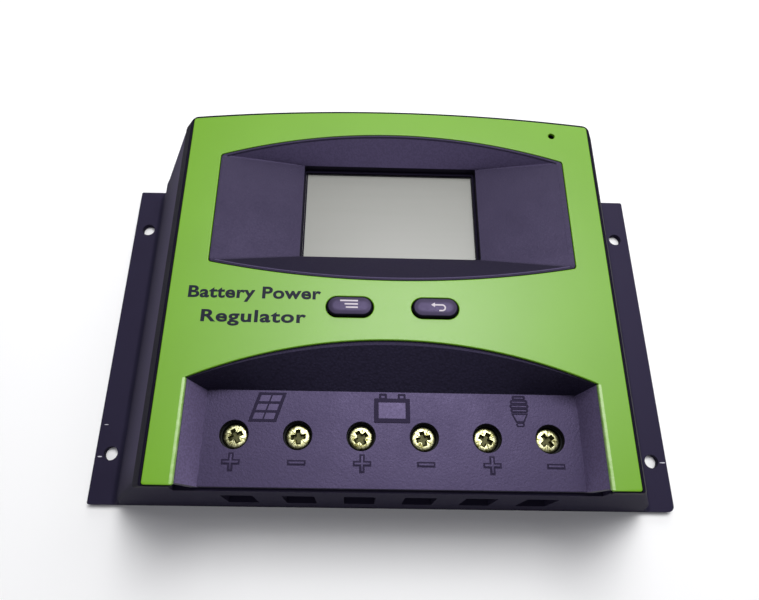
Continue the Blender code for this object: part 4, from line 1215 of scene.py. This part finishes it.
def main():
    """Builds the camera, the light, the fine pieces and the finishes."""
    make_camera()
    make_light()
    plastic = moulded_black("cover_plastic", COVER_COLOUR, 0.47, 0.6, 0.05, 0.20, 0.62, speckle=0.5)
    basin = moulded_black("basin_plastic", BASIN_COLOUR, 0.50, 0.6, 0.03, 0.15, 0.38, speckle=0.25)
    # painted light and painted shade: lighter and darker copies of the recess plastic for its top and bottom
    # facets
    high = moulded_black("basin_high", BASIN_LIGHT_COLOUR, 0.5, 0.6, 0.03, specular=0.6, speckle=0.2)
    low = moulded_black("basin_low", BASIN_SHADE_COLOUR, 0.6, specular=0.32)
    # the darkest black, also used as painted shade on the key sides and in the screw openings
    rim = moulded_black("cover_rim", RIM_AND_SHADE_COLOUR, 0.7, specular=0.12)
    # painted light: a pale copy of the black plastic for the bay's side walls
    side = moulded_black("bay_side", BAY_SIDE_LIGHT_COLOUR, 0.6, 0.55, 0.04, specular=0.3, speckle=0.3)
    shade = moulded_black("mark_shade", SHADE_COLOUR, 0.6, specular=0.24)
    field = moulded_black("icon_field", FIELD_COLOUR, 0.44, 0.6, 0.01, specular=0.68)
    key_plastic = moulded_black("key_plastic", KEY_COLOUR, 0.42, 0.5, 0.006, specular=0.48)
    ink = moulded("label_ink", (0.006, 0.008, 0.020), 0.55, depth=0.004, specular=0.16)
    symbol_ink = moulded("symbol_ink", (0.50, 0.45, 0.62), 0.5, depth=0.004)
    brass, recess = screw_brass(), screw_recess_shade()
    make_case(painted_case(), case_wall())
    make_cover(rim)
    make_display_basin(basin, high, low)
    make_bay(plastic, leather_black(), side, rim)
    make_panel(panel_green())
    # painted highlight on the trimmed edges of the panel
    make_panel_edges(panel_edge_highlight())
    for prefix, node in KEYS.items():
        make_key(prefix, node, key_plastic, rim, symbol_ink)
    for index in TERMINALS:
        make_screw(index, brass, recess)
    make_marks(plastic, shade)
    make_icons(plastic, shade, field)
    make_label(ink)
    make_display_border(rim)
    refinish({
        "chip_black": moulded("chip_body", (0.018, 0.018, 0.020), 0.5, depth=0.006),
        "display_grey": display_glass(),
        "diffuser_white": moulded("white_plastic", (0.75, 0.76, 0.74), 0.5, depth=0.006),
        "terminal_black": moulded("terminal_plastic", (0.005, 0.005, 0.007), 0.6, depth=0.015, specular=0.2),
        "copper": metal("bare_copper", (0.72, 0.33, 0.18), 0.34, (0.1, 1.0, 1.0)),
        "steel": metal("plated_steel", (0.56, 0.56, 0.58), 0.34),
        "aluminium": metal("extruded_aluminium", (0.60, 0.61, 0.62), 0.40, (1.0, 0.03, 1.0)),
        "board_green": board_finish(),
        "capacitor_blue": moulded("capacitor_sleeve", (0.03, 0.05, 0.14), 0.35, depth=0.004),
        "fuse_yellow": moulded("fuse_body", (0.80, 0.52, 0.03), 0.3, depth=0.004),
        "lamp_clear": clear_lamp(),
        "ribbon_grey": moulded("ribbon", (0.42, 0.42, 0.44), 0.6, depth=0.01),
    })
    bpy.data.objects["lcd_frame"].data.materials[0] = rim
    make_floor(floor_finish())


main()
